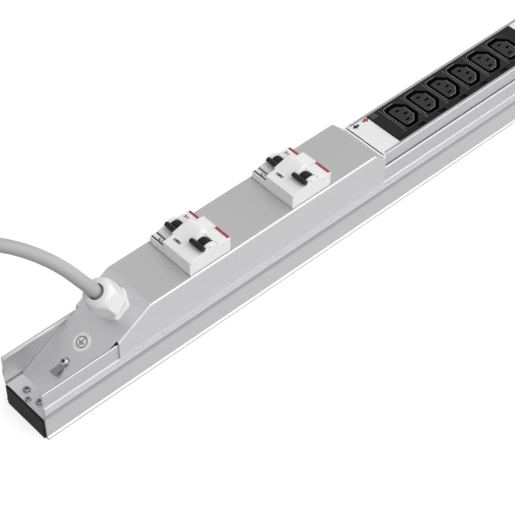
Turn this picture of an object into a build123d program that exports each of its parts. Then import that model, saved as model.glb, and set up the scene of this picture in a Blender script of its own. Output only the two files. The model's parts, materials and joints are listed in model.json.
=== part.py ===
"""Rack power busbar: a channel rail with an infeed cover, two breaker units and plug-in outlet modules.

Millimetres, +Z up. The rail lies on its back and runs along X, with the infeed end at -X. Pieces are
drawn from the infeed end, x = 0, and moved at the end, so that the origin is on the base, under the
middle of the rail. Y runs across the rail.
"""
import os
from math import atan2, ceil, cos, degrees, pi, radians, sin, tan

from build123d import *

# Rail profile
rail_width = 57.6
wall_top = 57.2
ledge_height = 41.0
floor_top = 23.3
floor_thickness = 1.6
base_thickness = 2.0
wall_thickness = 1.2
lip_depth = 0.7
lip_height = 3.5
lower_wall_inset = 1.4
chamber_wall = 2.2
foot_height = 4.1
rib_band_bottom = 32.2
rib_pitch = 1.45
rib_depth = 0.45
cove_bottom = 26.5

# Infeed cover, a bent sheet
sheet = 1.2
cover_play = 0.15
cover_top = 81.3
slope_angle = 30.2
slope_start = 16.5
side_start = 78.7
top_end = 374.9
end_drop = 12.3
cover_corner = 1.8
cover_bend = 3.0
tongue_play = 0.55
cutout_play = 0.6

# Breaker units
device_gap = 0.15
nose_length = 45.0
body_length = 90.0
first_breaker = 158.6
breaker_pitch = 116.4
wide_nose = 15.0
narrow_nose = 9.0
nose_crown = 1.2
shoulder_below_cover = 2.6
body_below_rail = 4.8
pivot_from_front = 23.4
toggle_lean = 48.0
axle_radius = 1.5
running_fit = 0.05
turning_gap = 0.3

# Mounting rail under a breaker unit
top_hat_width = 35.0
top_hat_height = 15.0
top_hat_inner = 25.0
top_hat_sheet = 1.0

# Outlet modules
module_count = 2
outlet_count = 6
outlet_pitch = 27.8
module_top = 71.5
module_gap = 0.5
end_plate = 4.0
label_length = 20.9
blank_length = 13.6
side_sheet = 1.5
flange_width = 2.9
insert_play = 0.15
insert_depth = 24.5
socket_offset = 1.4
contact_pitch = 14.0
earth_offset = 4.0
seat_gap = 0.3
end_space = 13.9

# Conductors
bar_count = 5
bar_pitch = 7.0
bar_height = 8.0
bar_thickness = 1.5
carrier_height = 14.0
carrier_half = 19.0
carrier_start = 362.0

# Gland, cable and plug
gland_along_slope = 93.0
hex_across_flats = 27.0
gland_thread = 19.8
cable_diameter = 12.0
gland_height = 33.0
coil_centre = (-113.0, 25.0)
coil_mean_radius = 61.0
coil_turns_wide = 2
coil_turns_high = 3
plug_radius = 22.0
plug_rear = -160.0
plug_y = -14.0

# Values worked out from those above
rail_half = rail_width / 2
wall_outer = rail_half - sheet - cover_play
wall_inner = wall_outer - wall_thickness
lip_inner = wall_inner - lip_depth
lower_wall = rail_half - lower_wall_inset
chamber_half = lower_wall - chamber_wall
chamber_top = floor_top - floor_thickness
slope = radians(slope_angle)
slope_rise = tan(slope)
tongue_top = floor_top + sheet
slope_end = slope_start + (cover_top - tongue_top) / slope_rise
cover_end = top_end + end_drop
tongue_half = lip_inner - tongue_play
module_width = 2 * wall_inner / 3
breaker_starts = [first_breaker, first_breaker + breaker_pitch]
module_half = tongue_half
module_start = cover_end + seat_gap
insert_length = 2 * blank_length + outlet_count * outlet_pitch
module_length = insert_length + 2 * (end_plate + label_length)
module_pitch = module_length + module_gap
rail_length = module_start + module_count * module_pitch + end_space
carrier_top = floor_top + carrier_height
module_bottom = carrier_top + seat_gap
insert_bottom = module_top - insert_depth
unit_half = wall_inner - device_gap
top_hat_top = floor_top + top_hat_height
cable_radius = cable_diameter / 2
coil_half_width = coil_turns_wide * cable_radius
coil_height = coil_turns_high * cable_diameter
plug_height = coil_height + plug_radius
plug_length = 98.0
plug_pocket = 62.0


def block(x0, x1, y0, y1, z0, z1):
    """A box from its six sides."""
    return Pos((x0 + x1) / 2, (y0 + y1) / 2, (z0 + z1) / 2) * Box(x1 - x0, y1 - y0, z1 - z0)


def across_section(points):
    """A closed face in the Y-Z plane."""
    return make_face(Plane.YZ * Polyline(*points, close=True))


def run_along(points, x0, x1):
    """A Y-Z outline carried along the rail from x0 to x1."""
    return Pos(x0, 0, 0) * extrude(across_section(points), x1 - x0, dir=(1, 0, 0))


def side_face(points):
    """A closed face in the X-Z plane."""
    return make_face(Plane.XZ * Polyline(*points, close=True))


def run_across(points, y0, y1):
    """An X-Z outline carried across the rail from y0 to y1."""
    return Pos(0, y0, 0) * extrude(side_face(points), y1 - y0, dir=(0, 1, 0))


def rod_across(x, z, radius, y0, y1):
    """A round bar along Y."""
    return Pos(x, (y0 + y1) / 2, z) * Rot(90, 0, 0) * Cylinder(radius, y1 - y0)


def mirrored(half):
    """Points from the middle line round the + side, then the same points on the - side in reverse."""
    return half + [(-y, z) for y, z in reversed(half[1:-1])]


def save(node, *solids):
    """Move the solids to the rail's middle and write them as one node."""
    moved = [Pos(-rail_length / 2, 0, 0) * solid for solid in solids]
    shape = moved[0] if len(moved) == 1 else Compound(children=moved)
    export_step(shape, f"parts/{node}.step")


def slope_point(along, height=0.0):
    """A point on the cover's slope, from its lower bend, at a height above its outer face."""
    x = slope_start + along * cos(slope) - height * sin(slope)
    z = tongue_top + along * sin(slope) + height * cos(slope)
    return (x, z)


def slope_plane(along):
    """The plane on the slope's outer face, with x up the slope and z out of it."""
    x, z = slope_point(along)
    return Plane(origin=(x, 0, z), x_dir=(cos(slope), 0, sin(slope)), z_dir=(-sin(slope), 0, cos(slope)))


def rib_points():
    """The ribbed band of the rail's side, from the bottom up."""
    ribs = int((ledge_height - rib_band_bottom - 1.0) / rib_pitch)
    points = []
    for i in range(ribs):
        z = rib_band_bottom + 0.7 + i * rib_pitch
        points += [(rail_half, z), (rail_half - rib_depth, z + 0.45), (rail_half, z + 0.9)]
    return points


def rail_section():
    """Half of the rail's outer outline: foot rim, lower wall, cove, ribs, ledge, wall and lip."""
    foot = [(0, 0), (rail_half - 0.8, 0), (rail_half, 0.8), (rail_half, foot_height - 1.6),
            (lower_wall, foot_height), (lower_wall, cove_bottom)]
    cove = [(lower_wall + 0.15, cove_bottom + 2.4), (lower_wall + 0.6, rib_band_bottom - 1.3)]
    cove += [(rail_half - 0.3, rib_band_bottom)]
    lip_bottom = wall_top - lip_height
    upper = [(rail_half, ledge_height - 0.5), (rail_half - 0.5, ledge_height), (wall_outer, ledge_height),
             (wall_outer, wall_top - 0.5), (wall_outer - 0.5, wall_top), (lip_inner + 0.2, wall_top),
             (lip_inner, wall_top - 0.2), (lip_inner, lip_bottom), (wall_inner, lip_bottom - lip_depth),
             (wall_inner, floor_top), (0, floor_top)]
    return foot + cove + rib_points() + upper


def rail_profile():
    """The extrusion, with its chamber, the lip cut back at the breakers, and its holes."""
    rail = run_along(mirrored(rail_section()), 0, rail_length)
    chamber = [(0, base_thickness), (chamber_half, base_thickness), (chamber_half, chamber_top),
               (0, chamber_top)]
    rail -= run_along(mirrored(chamber), -1, rail_length + 1)
    body_overhang = (body_length - nose_length) / 2
    notch_start = breaker_starts[0] - body_overhang - 3
    notch_end = breaker_starts[-1] + nose_length + body_overhang + 3
    notch_bottom = wall_top - lip_height - lip_depth
    rail -= block(notch_start, notch_end, -wall_inner, wall_inner, notch_bottom, wall_top + 1)
    for x, y, radius in floor_screws():
        rail -= Pos(x, y, floor_top) * Cylinder(radius + running_fit, 3 * floor_thickness)
    for x in insert_places():
        rail -= Pos(x, 0, base_thickness / 2) * Cylinder(press_nut_shank + running_fit, 2 * base_thickness)
    return rail


# Screws through the tongue: place along, place across and shank radius
tongue_screw_x = 8.5
tongue_screw_y = 8.8
middle_screw_x = 3.1
screw_length = 9.0


def floor_screws():
    """The two large tongue screws and the small middle one."""
    return [(tongue_screw_x, tongue_screw_y, 1.9), (tongue_screw_x, -tongue_screw_y, 1.9),
            (middle_screw_x, 0.0, 1.2)]


def tongue_screws():
    """Pan-head screws through the tongue, the floor and the end cap's block."""
    screws = []
    for x, y, radius in floor_screws():
        head = Pos(x, y, tongue_top + 0.6 * radius) * Cylinder(1.8 * radius, 1.2 * radius)
        head = fillet(head.edges().group_by(Axis.Z)[-1], 0.4 * radius)
        shank = Pos(x, y, tongue_top - screw_length / 2) * Cylinder(radius, screw_length)
        recess = Pos(x, y, tongue_top + 1.2 * radius) * Cylinder(0.75 * radius, 1.3 * radius)
        screws.append(head + shank - recess)
    return screws


press_nut_shank = 4.2
press_nut_head = 5.5
press_nut_height = 5.0
insert_bore = 3.0
insert_from_end = 45.0


def insert_places():
    """Places along the rail of the threaded inserts in its back."""
    return [insert_from_end, rail_length - insert_from_end]


def press_nuts():
    """Clinch nuts in the base, flush with the back of the rail."""
    nuts = []
    for x in insert_places():
        shank = Pos(x, 0, base_thickness / 2 + 0.05) * Cylinder(press_nut_shank, base_thickness - 0.1)
        head = Pos(x, 0, base_thickness + press_nut_height / 2) * Cylinder(press_nut_head, press_nut_height)
        bore = Pos(x, 0, press_nut_height / 2) * Cylinder(insert_bore, 3 * press_nut_height)
        nuts.append(head + shank - bore)
    return nuts


cap_plate = 1.5
cap_depth = 12.0
cap_wall = 1.8
cap_edge = 0.3


def chamber_plug(x0, x1):
    """The hollow block that a cap pushes into the rail's lower chamber, with ribs inside."""
    half = chamber_half - insert_play
    low = base_thickness + insert_play
    high = chamber_top - insert_play
    plug = block(x0, x1, -half, half, low, high)
    plug -= block(x0 - 1, x1 + 1, cap_wall / 2, half - cap_wall, low + cap_wall, high - 4)
    plug -= block(x0 - 1, x1 + 1, cap_wall - half, -cap_wall / 2, low + cap_wall, high - 4)
    return plug


def end_cap_near():
    """The black cap of the lower chamber at the infeed end, with pilot holes for the tongue screws."""
    face_half = chamber_half - cap_edge
    plate = block(-cap_plate, 0, -face_half, face_half, cap_edge, floor_top - cap_edge)
    cap = plate + chamber_plug(0, cap_depth)
    for x, y, radius in floor_screws():
        cap -= Pos(x, y, floor_top - 5) * Cylinder(radius + running_fit, 10.2)
    return cap


def end_cap_far():
    """The cap at the far end, which also closes the channel behind the last module."""
    lower_half = rail_half - 1.0
    outline = [(0, cap_edge), (lower_half, cap_edge), (lower_half, ledge_height - 0.4),
               (wall_outer - 0.2, ledge_height - 0.4), (wall_outer - 0.2, wall_top - 0.2), (0, wall_top - 0.2)]
    cap = run_along(mirrored(outline), rail_length, rail_length + cap_plate)
    cap += chamber_plug(rail_length - cap_depth, rail_length)
    stop_half = lip_inner - insert_play
    stop_start = rail_length - end_space + module_gap + seat_gap
    cap += block(stop_start, rail_length, -stop_half, stop_half, floor_top + insert_play, wall_top - 0.2)
    cap -= block(stop_start + cap_wall, rail_length - 0.5, cap_wall - stop_half, stop_half - cap_wall,
                 floor_top + cap_wall, wall_top + 1)
    return cap


def cover_profile(drop, x_first, x_last, floor):
    """The side outline under the cover's outer face, moved in by drop, from x_first to x_last."""
    bend = drop * tan(slope / 2)
    end_bend = drop * tan(radians(22.5))
    start_z = tongue_top + (x_first - slope_start) * slope_rise - drop / cos(slope)
    end_x = top_end - end_bend
    last_z = cover_top - drop - (x_last - end_x)
    return [(x_first, floor), (x_first, start_z), (slope_end + bend, cover_top - drop), (end_x, cover_top - drop),
            (x_last, last_z), (x_last, floor)]


def infeed_cover():
    """The bent sheet: tongue, slope, top with cut-outs, end bend and side plates."""
    outer = run_across(cover_profile(0, side_start, cover_end, ledge_height), -rail_half, rail_half)
    bends = outer.edges().filter_by(Axis.Y).filter_by(lambda edge: edge.center().Z > cover_top - 0.1)
    outer = fillet(bends, cover_bend)
    long_edges = [edge for edge in outer.edges() if abs(edge.center().Y) > rail_half - 0.1
                  and edge.center().Z > ledge_height + 1 and edge.bounding_box().size.X > 0.5]
    outer = fillet(long_edges, cover_corner)
    inner_half = rail_half - sheet
    inner = run_across(cover_profile(sheet, side_start - 8, cover_end + 8, ledge_height - 5),
                       -inner_half, inner_half)
    hood = outer - inner
    under = sheet / cos(slope)
    bend = sheet * tan(slope / 2)
    overlap = side_start + 6
    rise = (overlap - slope_start) * slope_rise
    strip = [(0, floor_top), (0, tongue_top), (slope_start, tongue_top), (overlap, tongue_top + rise),
             (overlap, tongue_top + rise - under), (slope_start + bend, floor_top)]
    cover = hood + run_across(strip, -tongue_half, tongue_half)
    for x in breaker_starts:
        half = unit_half + cutout_play
        cover -= block(x - cutout_play, x + nose_length + cutout_play, -half, half,
                       cover_top - 3, cover_top + 3)
    for x, y, radius in floor_screws():
        cover -= Pos(x, y, floor_top) * Cylinder(radius + running_fit, 6)
    cover -= slope_plane(gland_along_slope) * Cylinder(gland_thread / 2 + running_fit, 8)
    cover -= slope_plane(stud_along_slope) * Cylinder(stud_radius + running_fit, 8)
    return cover


stud_along_slope = 30.8
stud_radius = 2.5
stud_head_radius = 3.8
stud_head_height = 3.0
stud_length = 10.0
stud_hexagon = 1.9
tab_thickness = 0.8
tab_width = 6.4
tab_washer_radius = 4.3
tab_bend = -4.6
tab_length = 10.0
tab_rise = 24.0


def earth_stud():
    """Button-head stud with a hexagon socket, which clamps the earth blade."""
    head = Pos(0, 0, tab_thickness + stud_head_height / 2) * Cylinder(stud_head_radius, stud_head_height)
    head = fillet(head.edges().group_by(Axis.Z)[-1], 0.5 * stud_head_height)
    shank = Pos(0, 0, tab_thickness - stud_length / 2) * Cylinder(stud_radius, stud_length)
    socket = extrude(RegularPolygon(stud_hexagon, 6), 0.7 * stud_head_height, both=True)
    return slope_plane(stud_along_slope) * (head + shank - Pos(0, 0, tab_thickness + stud_head_height) * socket)


def earth_nut():
    """Hexagon nut on the stud, under the slope."""
    nut = extrude(RegularPolygon(4.6, 6), 3.6)
    nut -= Cylinder(stud_radius + running_fit, 12)
    return slope_plane(stud_along_slope) * (Pos(0, 0, -sheet - 3.6) * nut)


def earth_blade():
    """Flat push-on blade with a round eye under the stud's head, its free end bent up from the slope."""
    tip_x = tab_bend - tab_length * cos(radians(tab_rise))
    tip_z = tab_length * sin(radians(tab_rise))
    side = [(0, 0), (0, tab_thickness), (tab_bend, tab_thickness), (tip_x, tip_z + tab_thickness),
            (tip_x, tip_z), (tab_bend, 0)]
    blade = Pos(0, -tab_width / 2, 0) * extrude(side_face(side), tab_width, dir=(0, 1, 0))
    blade += Pos(0, 0, tab_thickness / 2) * Cylinder(tab_washer_radius, tab_thickness)
    blade -= Cylinder(stud_radius + running_fit, 6)
    return slope_plane(stud_along_slope) * blade


label_along_slope = 52.5
label_radius = 8.4
label_thickness = 0.25


def earth_label():
    """Round earth label on the slope."""
    return slope_plane(label_along_slope) * (Pos(0, 0, label_thickness / 2) * Cylinder(label_radius, label_thickness))


hex_radius = hex_across_flats / 2 / cos(pi / 6)
body_flange = 6.5
nut_gap = 1.0
nut_hex_height = 12.5
mouth_radius = 6.9
seal_radius = 7.6
seal_top = 25.5
body_turn = 0.0
nut_turn = 14.0


def gland_body():
    """The gland's lower half: hexagon flange, thread through the slope and a neck for the cap nut."""
    flange = extrude(Rot(0, 0, body_turn) * RegularPolygon(hex_radius, 6), body_flange)
    flange = chamfer(flange.edges().group_by(Axis.Z)[-1], 0.6)
    thread = Pos(0, 0, -6) * Cylinder(gland_thread / 2, 12)
    neck = Pos(0, 0, body_flange + 4) * Cylinder(9.2, 8)
    body = flange + thread + neck
    body -= Cylinder(cable_radius + 0.3, 60)
    return slope_plane(gland_along_slope) * body


def gland_locknut():
    """The thin hexagon nut under the slope."""
    nut = extrude(RegularPolygon(hex_radius - 0.6, 6), 5)
    nut -= Cylinder(gland_thread / 2 + running_fit, 20)
    return slope_plane(gland_along_slope) * (Pos(0, 0, -sheet - 5) * nut)


def gland_cap_nut():
    """Hexagon cap nut with a domed top and a wide mouth."""
    low = body_flange + nut_gap
    prism = Pos(0, 0, low) * extrude(Rot(0, 0, nut_turn) * RegularPolygon(hex_radius, 6), gland_height - low)
    with BuildSketch(Plane.XZ) as turned:
        with BuildLine():
            Polyline((0, low), (hex_radius - 0.7, low), (hex_radius + 0.2, low + 1.2),
                     (hex_radius + 0.2, low + nut_hex_height))
            ThreePointArc((hex_radius + 0.2, low + nut_hex_height), (13.2, gland_height - 4.2),
                          (mouth_radius + 2.1, gland_height))
            Polyline((mouth_radius + 2.1, gland_height), (0, gland_height), (0, low))
        make_face()
    nut = prism & revolve(turned.sketch, Axis.Z)
    nut -= Pos(0, 0, body_flange + 4) * Cylinder(9.3, 8.4)
    nut -= Pos(0, 0, seal_top - 10) * Cylinder(seal_radius, 20)
    nut -= Pos(0, 0, gland_height) * Cylinder(mouth_radius, 60)
    return slope_plane(gland_along_slope) * nut


def gland_seal():
    """Rubber sealing ring between the cable and the cap nut."""
    low = body_flange + 9
    ring = Pos(0, 0, (low + seal_top) / 2) * Cylinder(seal_radius - running_fit, seal_top - low)
    ring -= Cylinder(cable_radius + running_fit, 90)
    return slope_plane(gland_along_slope) * ring


def device_outline(start, nose_height, front):
    """Side outline of a device: foot, notch for the mounting rail, shoulders and crowned nose."""
    centre = start + nose_length / 2
    first = centre - body_length / 2
    last = centre + body_length / 2
    low = top_hat_top - body_below_rail
    seat = top_hat_top + running_fit
    shoulder = cover_top - sheet - shoulder_below_cover
    notch = top_hat_width / 2 + 0.4
    top = cover_top + nose_height
    end = start + nose_length
    with BuildSketch(Plane.XZ) as outline:
        with BuildLine():
            Polyline((end - 0.6, top), (end, top - 0.8), (end, shoulder), (last, shoulder - 2), (last, low),
                     (centre + notch, low), (centre + notch, seat), (centre - notch, seat),
                     (centre - notch, low), (first, low), (first, shoulder - 2), (start, shoulder),
                     (start, top - front), (start + 0.25 * front + 0.2, top))
            ThreePointArc((start + 0.25 * front + 0.2, top), (centre, top + nose_crown), (end - 0.6, top))
        make_face()
    return outline.sketch


def device_block(start, nose_height, front, y0, y1):
    """A device's outline carried across its width."""
    return Pos(0, y0, 0) * extrude(device_outline(start, nose_height, front), y1 - y0, dir=(0, 1, 0))


toggle_slot_half = 4.7
toggle_neck_half = 4.4
axle_length = 2.0


def toggle_seat(start, nose_height, hump_radius, hump_sink, y0, y1):
    """The half-round hump over a toggle, and what is cut from it for the barrel and its axle."""
    x = start + pivot_from_front
    z = cover_top + nose_height + nose_crown - hump_sink
    y = (y0 + y1) / 2
    hump = rod_across(x, z, hump_radius, y0, y1)
    slot = rod_across(x, z, hump_radius + turning_gap, y - toggle_slot_half, y + toggle_slot_half)
    reach = axle_length + 0.4 + toggle_slot_half
    bearing = rod_across(x, z, axle_radius + running_fit, y - reach, y + reach)
    return hump, slot + bearing


def toggle_lever(start, nose_height, hump_radius, hump_sink, y0, y1, blade_half, blade_length):
    """A toggle: ribbed barrel on its axle, a neck, and the wide blade, leaning to the front."""
    z = cover_top + nose_height + nose_crown - hump_sink
    y = (y0 + y1) / 2
    barrel = rod_across(0, 0, hump_radius, -toggle_neck_half, toggle_neck_half)
    for i in range(3):
        turn = 18 + 24 * i
        groove = Pos(0, 0, hump_radius) * Box(0.8, 2 * toggle_neck_half + 2, 0.8)
        barrel -= Rot(0, turn, 0) * groove
    reach = toggle_slot_half + axle_length
    axle = rod_across(0, 0, axle_radius, -reach, reach)
    neck = block(-1.9, 1.9, -toggle_neck_half, toggle_neck_half, 0, hump_radius + 1.5)
    low = hump_radius + 0.6
    blade = block(-2.1, 2.1, -blade_half, blade_half, low, low + blade_length)
    blade = fillet(blade.edges().filter_by(Axis.Y), 0.9)
    lever = Rot(0, -toggle_lean, 0) * (neck + blade)
    return Pos(start + pivot_from_front, y, z) * (barrel + axle + lever)


wide_hump = 7.0
wide_sink = 3.3
narrow_hump = 6.2
narrow_sink = 2.7


def narrow_device(start):
    """The one-module device on the far side, with its low label step."""
    y0 = unit_half - module_width + device_gap
    body = device_block(start, narrow_nose, 5.0, y0, unit_half)
    hump, cut = toggle_seat(start, narrow_nose, narrow_hump, narrow_sink, y0 + 0.2, unit_half - 0.2)
    body = body + hump - cut
    groove_z = cover_top + narrow_nose
    for offset in (2.6, 8.2):
        body -= block(start + offset - 0.35, start + offset + 0.35, y0 + 0.6, unit_half - 0.6,
                      groove_z - 0.5, groove_z + 3)
    return body


def wide_device(start):
    """The two-module device on the near side: smooth raised cover, toggle hump and window."""
    y1 = unit_half - module_width - device_gap
    body = device_block(start, wide_nose, 0.8, -unit_half, y1)
    toggle_side = -unit_half + module_width
    hump, cut = toggle_seat(start, wide_nose, wide_hump, wide_sink, -unit_half + 0.2, toggle_side)
    top = cover_top + wide_nose
    with BuildSketch(Plane.XZ) as raised:
        with BuildLine():
            ThreePointArc((start + 24, top), (start + 31, top + 2.0), (start + 37, top + 3.0))
            ThreePointArc((start + 37, top + 3.0), (start + 41.5, top + 2.4), (start + nose_length - 0.4, top - 0.6))
            Polyline((start + nose_length - 0.4, top - 0.6), (start + 24, top - 3), (start + 24, top))
        make_face()
    dome = Pos(0, toggle_side + 1.2, 0) * extrude(raised.sketch, y1 - 2.0 - toggle_side, dir=(0, 1, 0))
    body = body + hump + dome - cut
    body -= block(start + 9.2, start + 11.9, -3.2, 4.9, top + 0.2, top + 3)
    return body


def wide_toggle(start):
    """The wide device's toggle."""
    return toggle_lever(start, wide_nose, wide_hump, wide_sink, -unit_half + 0.2,
                        -unit_half + module_width, 8.0, 4.2)


def narrow_toggle(start):
    """The narrow device's toggle."""
    y0 = unit_half - module_width + device_gap
    return toggle_lever(start, narrow_nose, narrow_hump, narrow_sink, y0 + 0.2, unit_half - 0.2, 6.3, 4.0)


def top_hat_rails():
    """Short mounting rails across the channel, one under each breaker unit."""
    rails = []
    outer = top_hat_width / 2
    inner = top_hat_inner / 2
    for start in breaker_starts:
        centre = start + nose_length / 2
        half = [(0, floor_top), (inner, floor_top), (inner, top_hat_top - top_hat_sheet),
                (outer, top_hat_top - top_hat_sheet), (outer, top_hat_top),
                (inner - top_hat_sheet, top_hat_top), (inner - top_hat_sheet, floor_top + top_hat_sheet),
                (0, floor_top + top_hat_sheet)]
        points = [(centre + x, z) for x, z in mirrored(half)]
        rails.append(run_across(points, -wall_inner + seat_gap, wall_inner - seat_gap))
    return rails


def bar_places():
    """Places across the rail of the conductor bars."""
    first = -(bar_count - 1) / 2
    return [socket_offset + (first + i) * bar_pitch for i in range(bar_count)]


def conductor_carrier():
    """Insulating profile on the channel floor, with one open slot for each bar."""
    end = rail_length - end_space - module_gap
    carrier = block(carrier_start, end, -carrier_half, carrier_half, floor_top, carrier_top)
    for y in bar_places():
        carrier -= block(carrier_start - 1, end + 1, y - bar_thickness, y + bar_pitch / 2 - 1,
                         floor_top + 4, carrier_top + 1)
    return carrier


def conductor_bars():
    """Copper bars, each against one wall of its slot."""
    end = rail_length - end_space - module_gap
    return [block(carrier_start, end, y - bar_thickness, y, floor_top + 4, floor_top + 4 + bar_height)
            for y in bar_places()]


terminal_start = 98.0
terminal_length = 26.0
wire_radius = 1.5
wire_places = (-8.0, 0.0, 8.0)


def terminal_block():
    """Infeed terminals on the channel floor below the gland."""
    end = terminal_start + terminal_length
    top = floor_top + 20
    body = block(terminal_start, end, -14, 14, floor_top, top)
    for y in wire_places:
        for x in (terminal_start + 7, end - 7):
            body -= Pos(x, y, top) * Cylinder(2.4, 8)
    for y in (-4, 4):
        body -= block(terminal_start - 1, end + 1, y - 0.5, y + 0.5, top - 5, top + 1)
    return body


def bar_between(start, end, radius):
    """A straight round wire between two points."""
    axis = Vector(*end) - Vector(*start)
    return Plane(origin=start, z_dir=axis) * Pos(0, 0, axis.length / 2) * Cylinder(radius, axis.length)


def infeed_wires():
    """Cores from the gland to the terminals, and on through both breaker units to the bars."""
    overhang = (body_length - nose_length) / 2
    wires = []
    x, z = slope_point(gland_along_slope, -13)
    for y in wire_places:
        wires.append(bar_between((x, 0.4 * y, z), (terminal_start + 7, y, floor_top + 16.4), wire_radius))
    links = [(terminal_start + terminal_length, breaker_starts[0] - overhang)]
    links += [(breaker_starts[i] + nose_length + overhang, breaker_starts[i + 1] - overhang)
              for i in range(len(breaker_starts) - 1)]
    for x0, x1 in links:
        for y in wire_places:
            wires.append(bar_between((x0, y, floor_top + 14), (x1, y, floor_top + 14), wire_radius))
    last = breaker_starts[-1] + nose_length + overhang
    level = floor_top + 4 + bar_height / 2
    gap = block(last, carrier_start, -rail_half, rail_half, floor_top, wall_top)
    for y in bar_places()[1:-1]:
        middle = y - bar_thickness / 2
        wire = bar_between((last - 2, middle, floor_top + 12.5), (carrier_start + 2, middle, level), 0.7)
        wires.append(wire & gap)
    return wires


def socket_outline(half_across, half_along, corner_cut, rounding):
    """Outlet outline: a rectangle across the rail with its two far corners cut, all corners rounded."""
    points = [(-half_along, -half_across), (half_along - corner_cut, -half_across),
              (half_along, -half_across + corner_cut), (half_along, half_across - corner_cut),
              (half_along - corner_cut, half_across), (-half_along, half_across)]
    face = make_face(Polyline(*points, close=True))
    return fillet(face.vertices(), rounding)


socket_half_across = 16.2
socket_half_along = 11.5
socket_corner_cut = 8.6
socket_rounding = 3.4
core_half_across = 12.2
core_half_along = 8.1
core_corner_cut = 6.4
core_rounding = 2.0
core_recess = 0.6
socket_depth = 16.0
frame_half_across = 18.3
slot_length = 4.0
slot_width = 2.0
contact_back = 1.2
frame_rise = 0.4


def outlet_centres(start):
    """Places along the rail of a module's outlets."""
    first = start + end_plate + label_length + blank_length + outlet_pitch / 2
    return [first + i * outlet_pitch for i in range(outlet_count)]


def contact_places(centre):
    """Line, neutral and earth places of one outlet."""
    x = centre - contact_back
    return [(x, socket_offset + contact_pitch / 2), (x, socket_offset - contact_pitch / 2),
            (x + earth_offset, socket_offset)]


def module_insert(start):
    """Black outlet strip: framed sockets, their cores and contact slots, and lips under the flanges."""
    x0 = start + end_plate + label_length
    x1 = x0 + insert_length
    half = module_half - flange_width - insert_play
    lip_top = module_top - side_sheet - insert_play
    strip = block(x0, x1, -half, half, insert_bottom, module_top)
    strip += block(x0, x1, -half - 1.2, half + 1.2, lip_top - 4, lip_top)
    core = socket_outline(core_half_across, core_half_along, core_corner_cut, core_rounding)
    ring = socket_outline(socket_half_across, socket_half_along, socket_corner_cut, socket_rounding) - core
    for centre in outlet_centres(start):
        near = socket_offset - frame_half_across
        far = socket_offset + frame_half_across
        strip += block(centre - outlet_pitch / 2 + 0.45, centre + outlet_pitch / 2 - 0.45, near, far,
                       module_top - 0.5, module_top + frame_rise)
        place = Pos(centre, socket_offset, module_top - socket_depth)
        strip -= place * extrude(ring, socket_depth + 2)
        strip -= Pos(centre, socket_offset, module_top + frame_rise - core_recess) * extrude(core, 2)
        for x, y in contact_places(centre):
            strip -= block(x - slot_length / 2, x + slot_length / 2, y - slot_width / 2, y + slot_width / 2,
                           insert_bottom - 1, module_top + 2)
        strip -= block(centre - 1, centre + 7, -half + 1.0, near - 0.8, module_top - 1.6, module_top + 1)
    return strip


contact_play = 0.05
contact_top = 12.0
strip_thickness = 1.5


def module_contacts(start):
    """Contact blades in the outlet slots, on three long strips with tap blades for the bars."""
    groups = []
    strip_top = insert_bottom - 0.1
    x0 = start + end_plate + 8
    x1 = outlet_centres(start)[-1] + outlet_pitch / 2
    for y in (socket_offset + contact_pitch / 2, socket_offset - contact_pitch / 2, socket_offset):
        bus = block(x0, x1, y - 2, y + 2, strip_top - strip_thickness, strip_top)
        bus += block(x0, x0 + 12, y + seat_gap, y + seat_gap + 1.5, floor_top + 6, strip_top)
        for centre in outlet_centres(start):
            for x, place in contact_places(centre):
                if abs(place - y) < 0.01:
                    bus += block(x - slot_length / 2 + contact_play, x + slot_length / 2 - contact_play,
                                 y - slot_width / 2 + contact_play, y + slot_width / 2 - contact_play,
                                 strip_top - 0.5, module_top - contact_top)
        groups.append(bus)
    return groups


def module_housing(start):
    """Silver channel of the module: floor with a tap opening, side walls and top flanges."""
    x0 = start + end_plate
    x1 = start + module_length - end_plate
    inner = module_half - side_sheet
    edge = module_half - flange_width
    half = [(0, module_bottom), (module_half - 0.6, module_bottom), (module_half, module_bottom + 0.6),
            (module_half, module_top - 0.5), (module_half - 0.5, module_top), (edge, module_top),
            (edge, module_top - side_sheet), (inner, module_top - side_sheet), (inner, module_bottom + side_sheet),
            (0, module_bottom + side_sheet)]
    housing = run_along(mirrored(half), x0, x1)
    housing -= block(x0 + 6, x0 + 24, -11, 15, module_bottom - 1, module_bottom + 3)
    return housing


def module_end(start, outward):
    """White end piece: a plate across the channel and the label plate between the flanges."""
    sign = -1 if outward < 0 else 1
    face = start if outward < 0 else start + module_length

    def span(a, b):
        first = face - sign * a
        second = face - sign * b
        return min(first, second), max(first, second)

    x0, x1 = span(0, end_plate)
    end = block(x0, x1, -module_half, module_half, module_bottom, module_top)
    end = fillet(end.edges().filter_by(Axis.Z), 0.8)
    inner_half = module_half - side_sheet - insert_play
    x0, x1 = span(end_plate, end_plate + 6)
    low = module_bottom + side_sheet + insert_play
    end += block(x0, x1, -inner_half, inner_half, low, low + 2.5)
    label_half = module_half - flange_width - insert_play
    x0, x1 = span(end_plate, end_plate + label_length - insert_play)
    end += block(x0, x1, -label_half, label_half, module_top - 3.6, module_top - 0.4)
    for y in (-module_half + 1.6, module_half - 1.6):
        x0, x1 = span(-1, end_plate - 0.4)
        end -= block(x0, x1, y - 0.3, y + 0.3, module_top - 1.2, module_top + 1)
    return end


marker_size = 7.8


def module_marker(start):
    """Small grey marker plate at the far corner of the outlet strip."""
    x0 = start + end_plate + label_length + 1.4
    far = module_half - flange_width - insert_play - 0.4
    return block(x0, x0 + marker_size, far - marker_size + 0.5, far, module_top, module_top + 0.5)


def corner_radii(points):
    """Largest even radius at each corner of a cable route: 0.45 of its shorter run over half its turn."""
    radii = []
    for before, here, after in zip(points, points[1:], points[2:]):
        first = Vector(*here) - Vector(*before)
        second = Vector(*after) - Vector(*here)
        half_turn = radians(first.get_angle(second)) / 2
        radii.append(0.45 * min(first.length, second.length) / tan(half_turn))
    return radii


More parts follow.
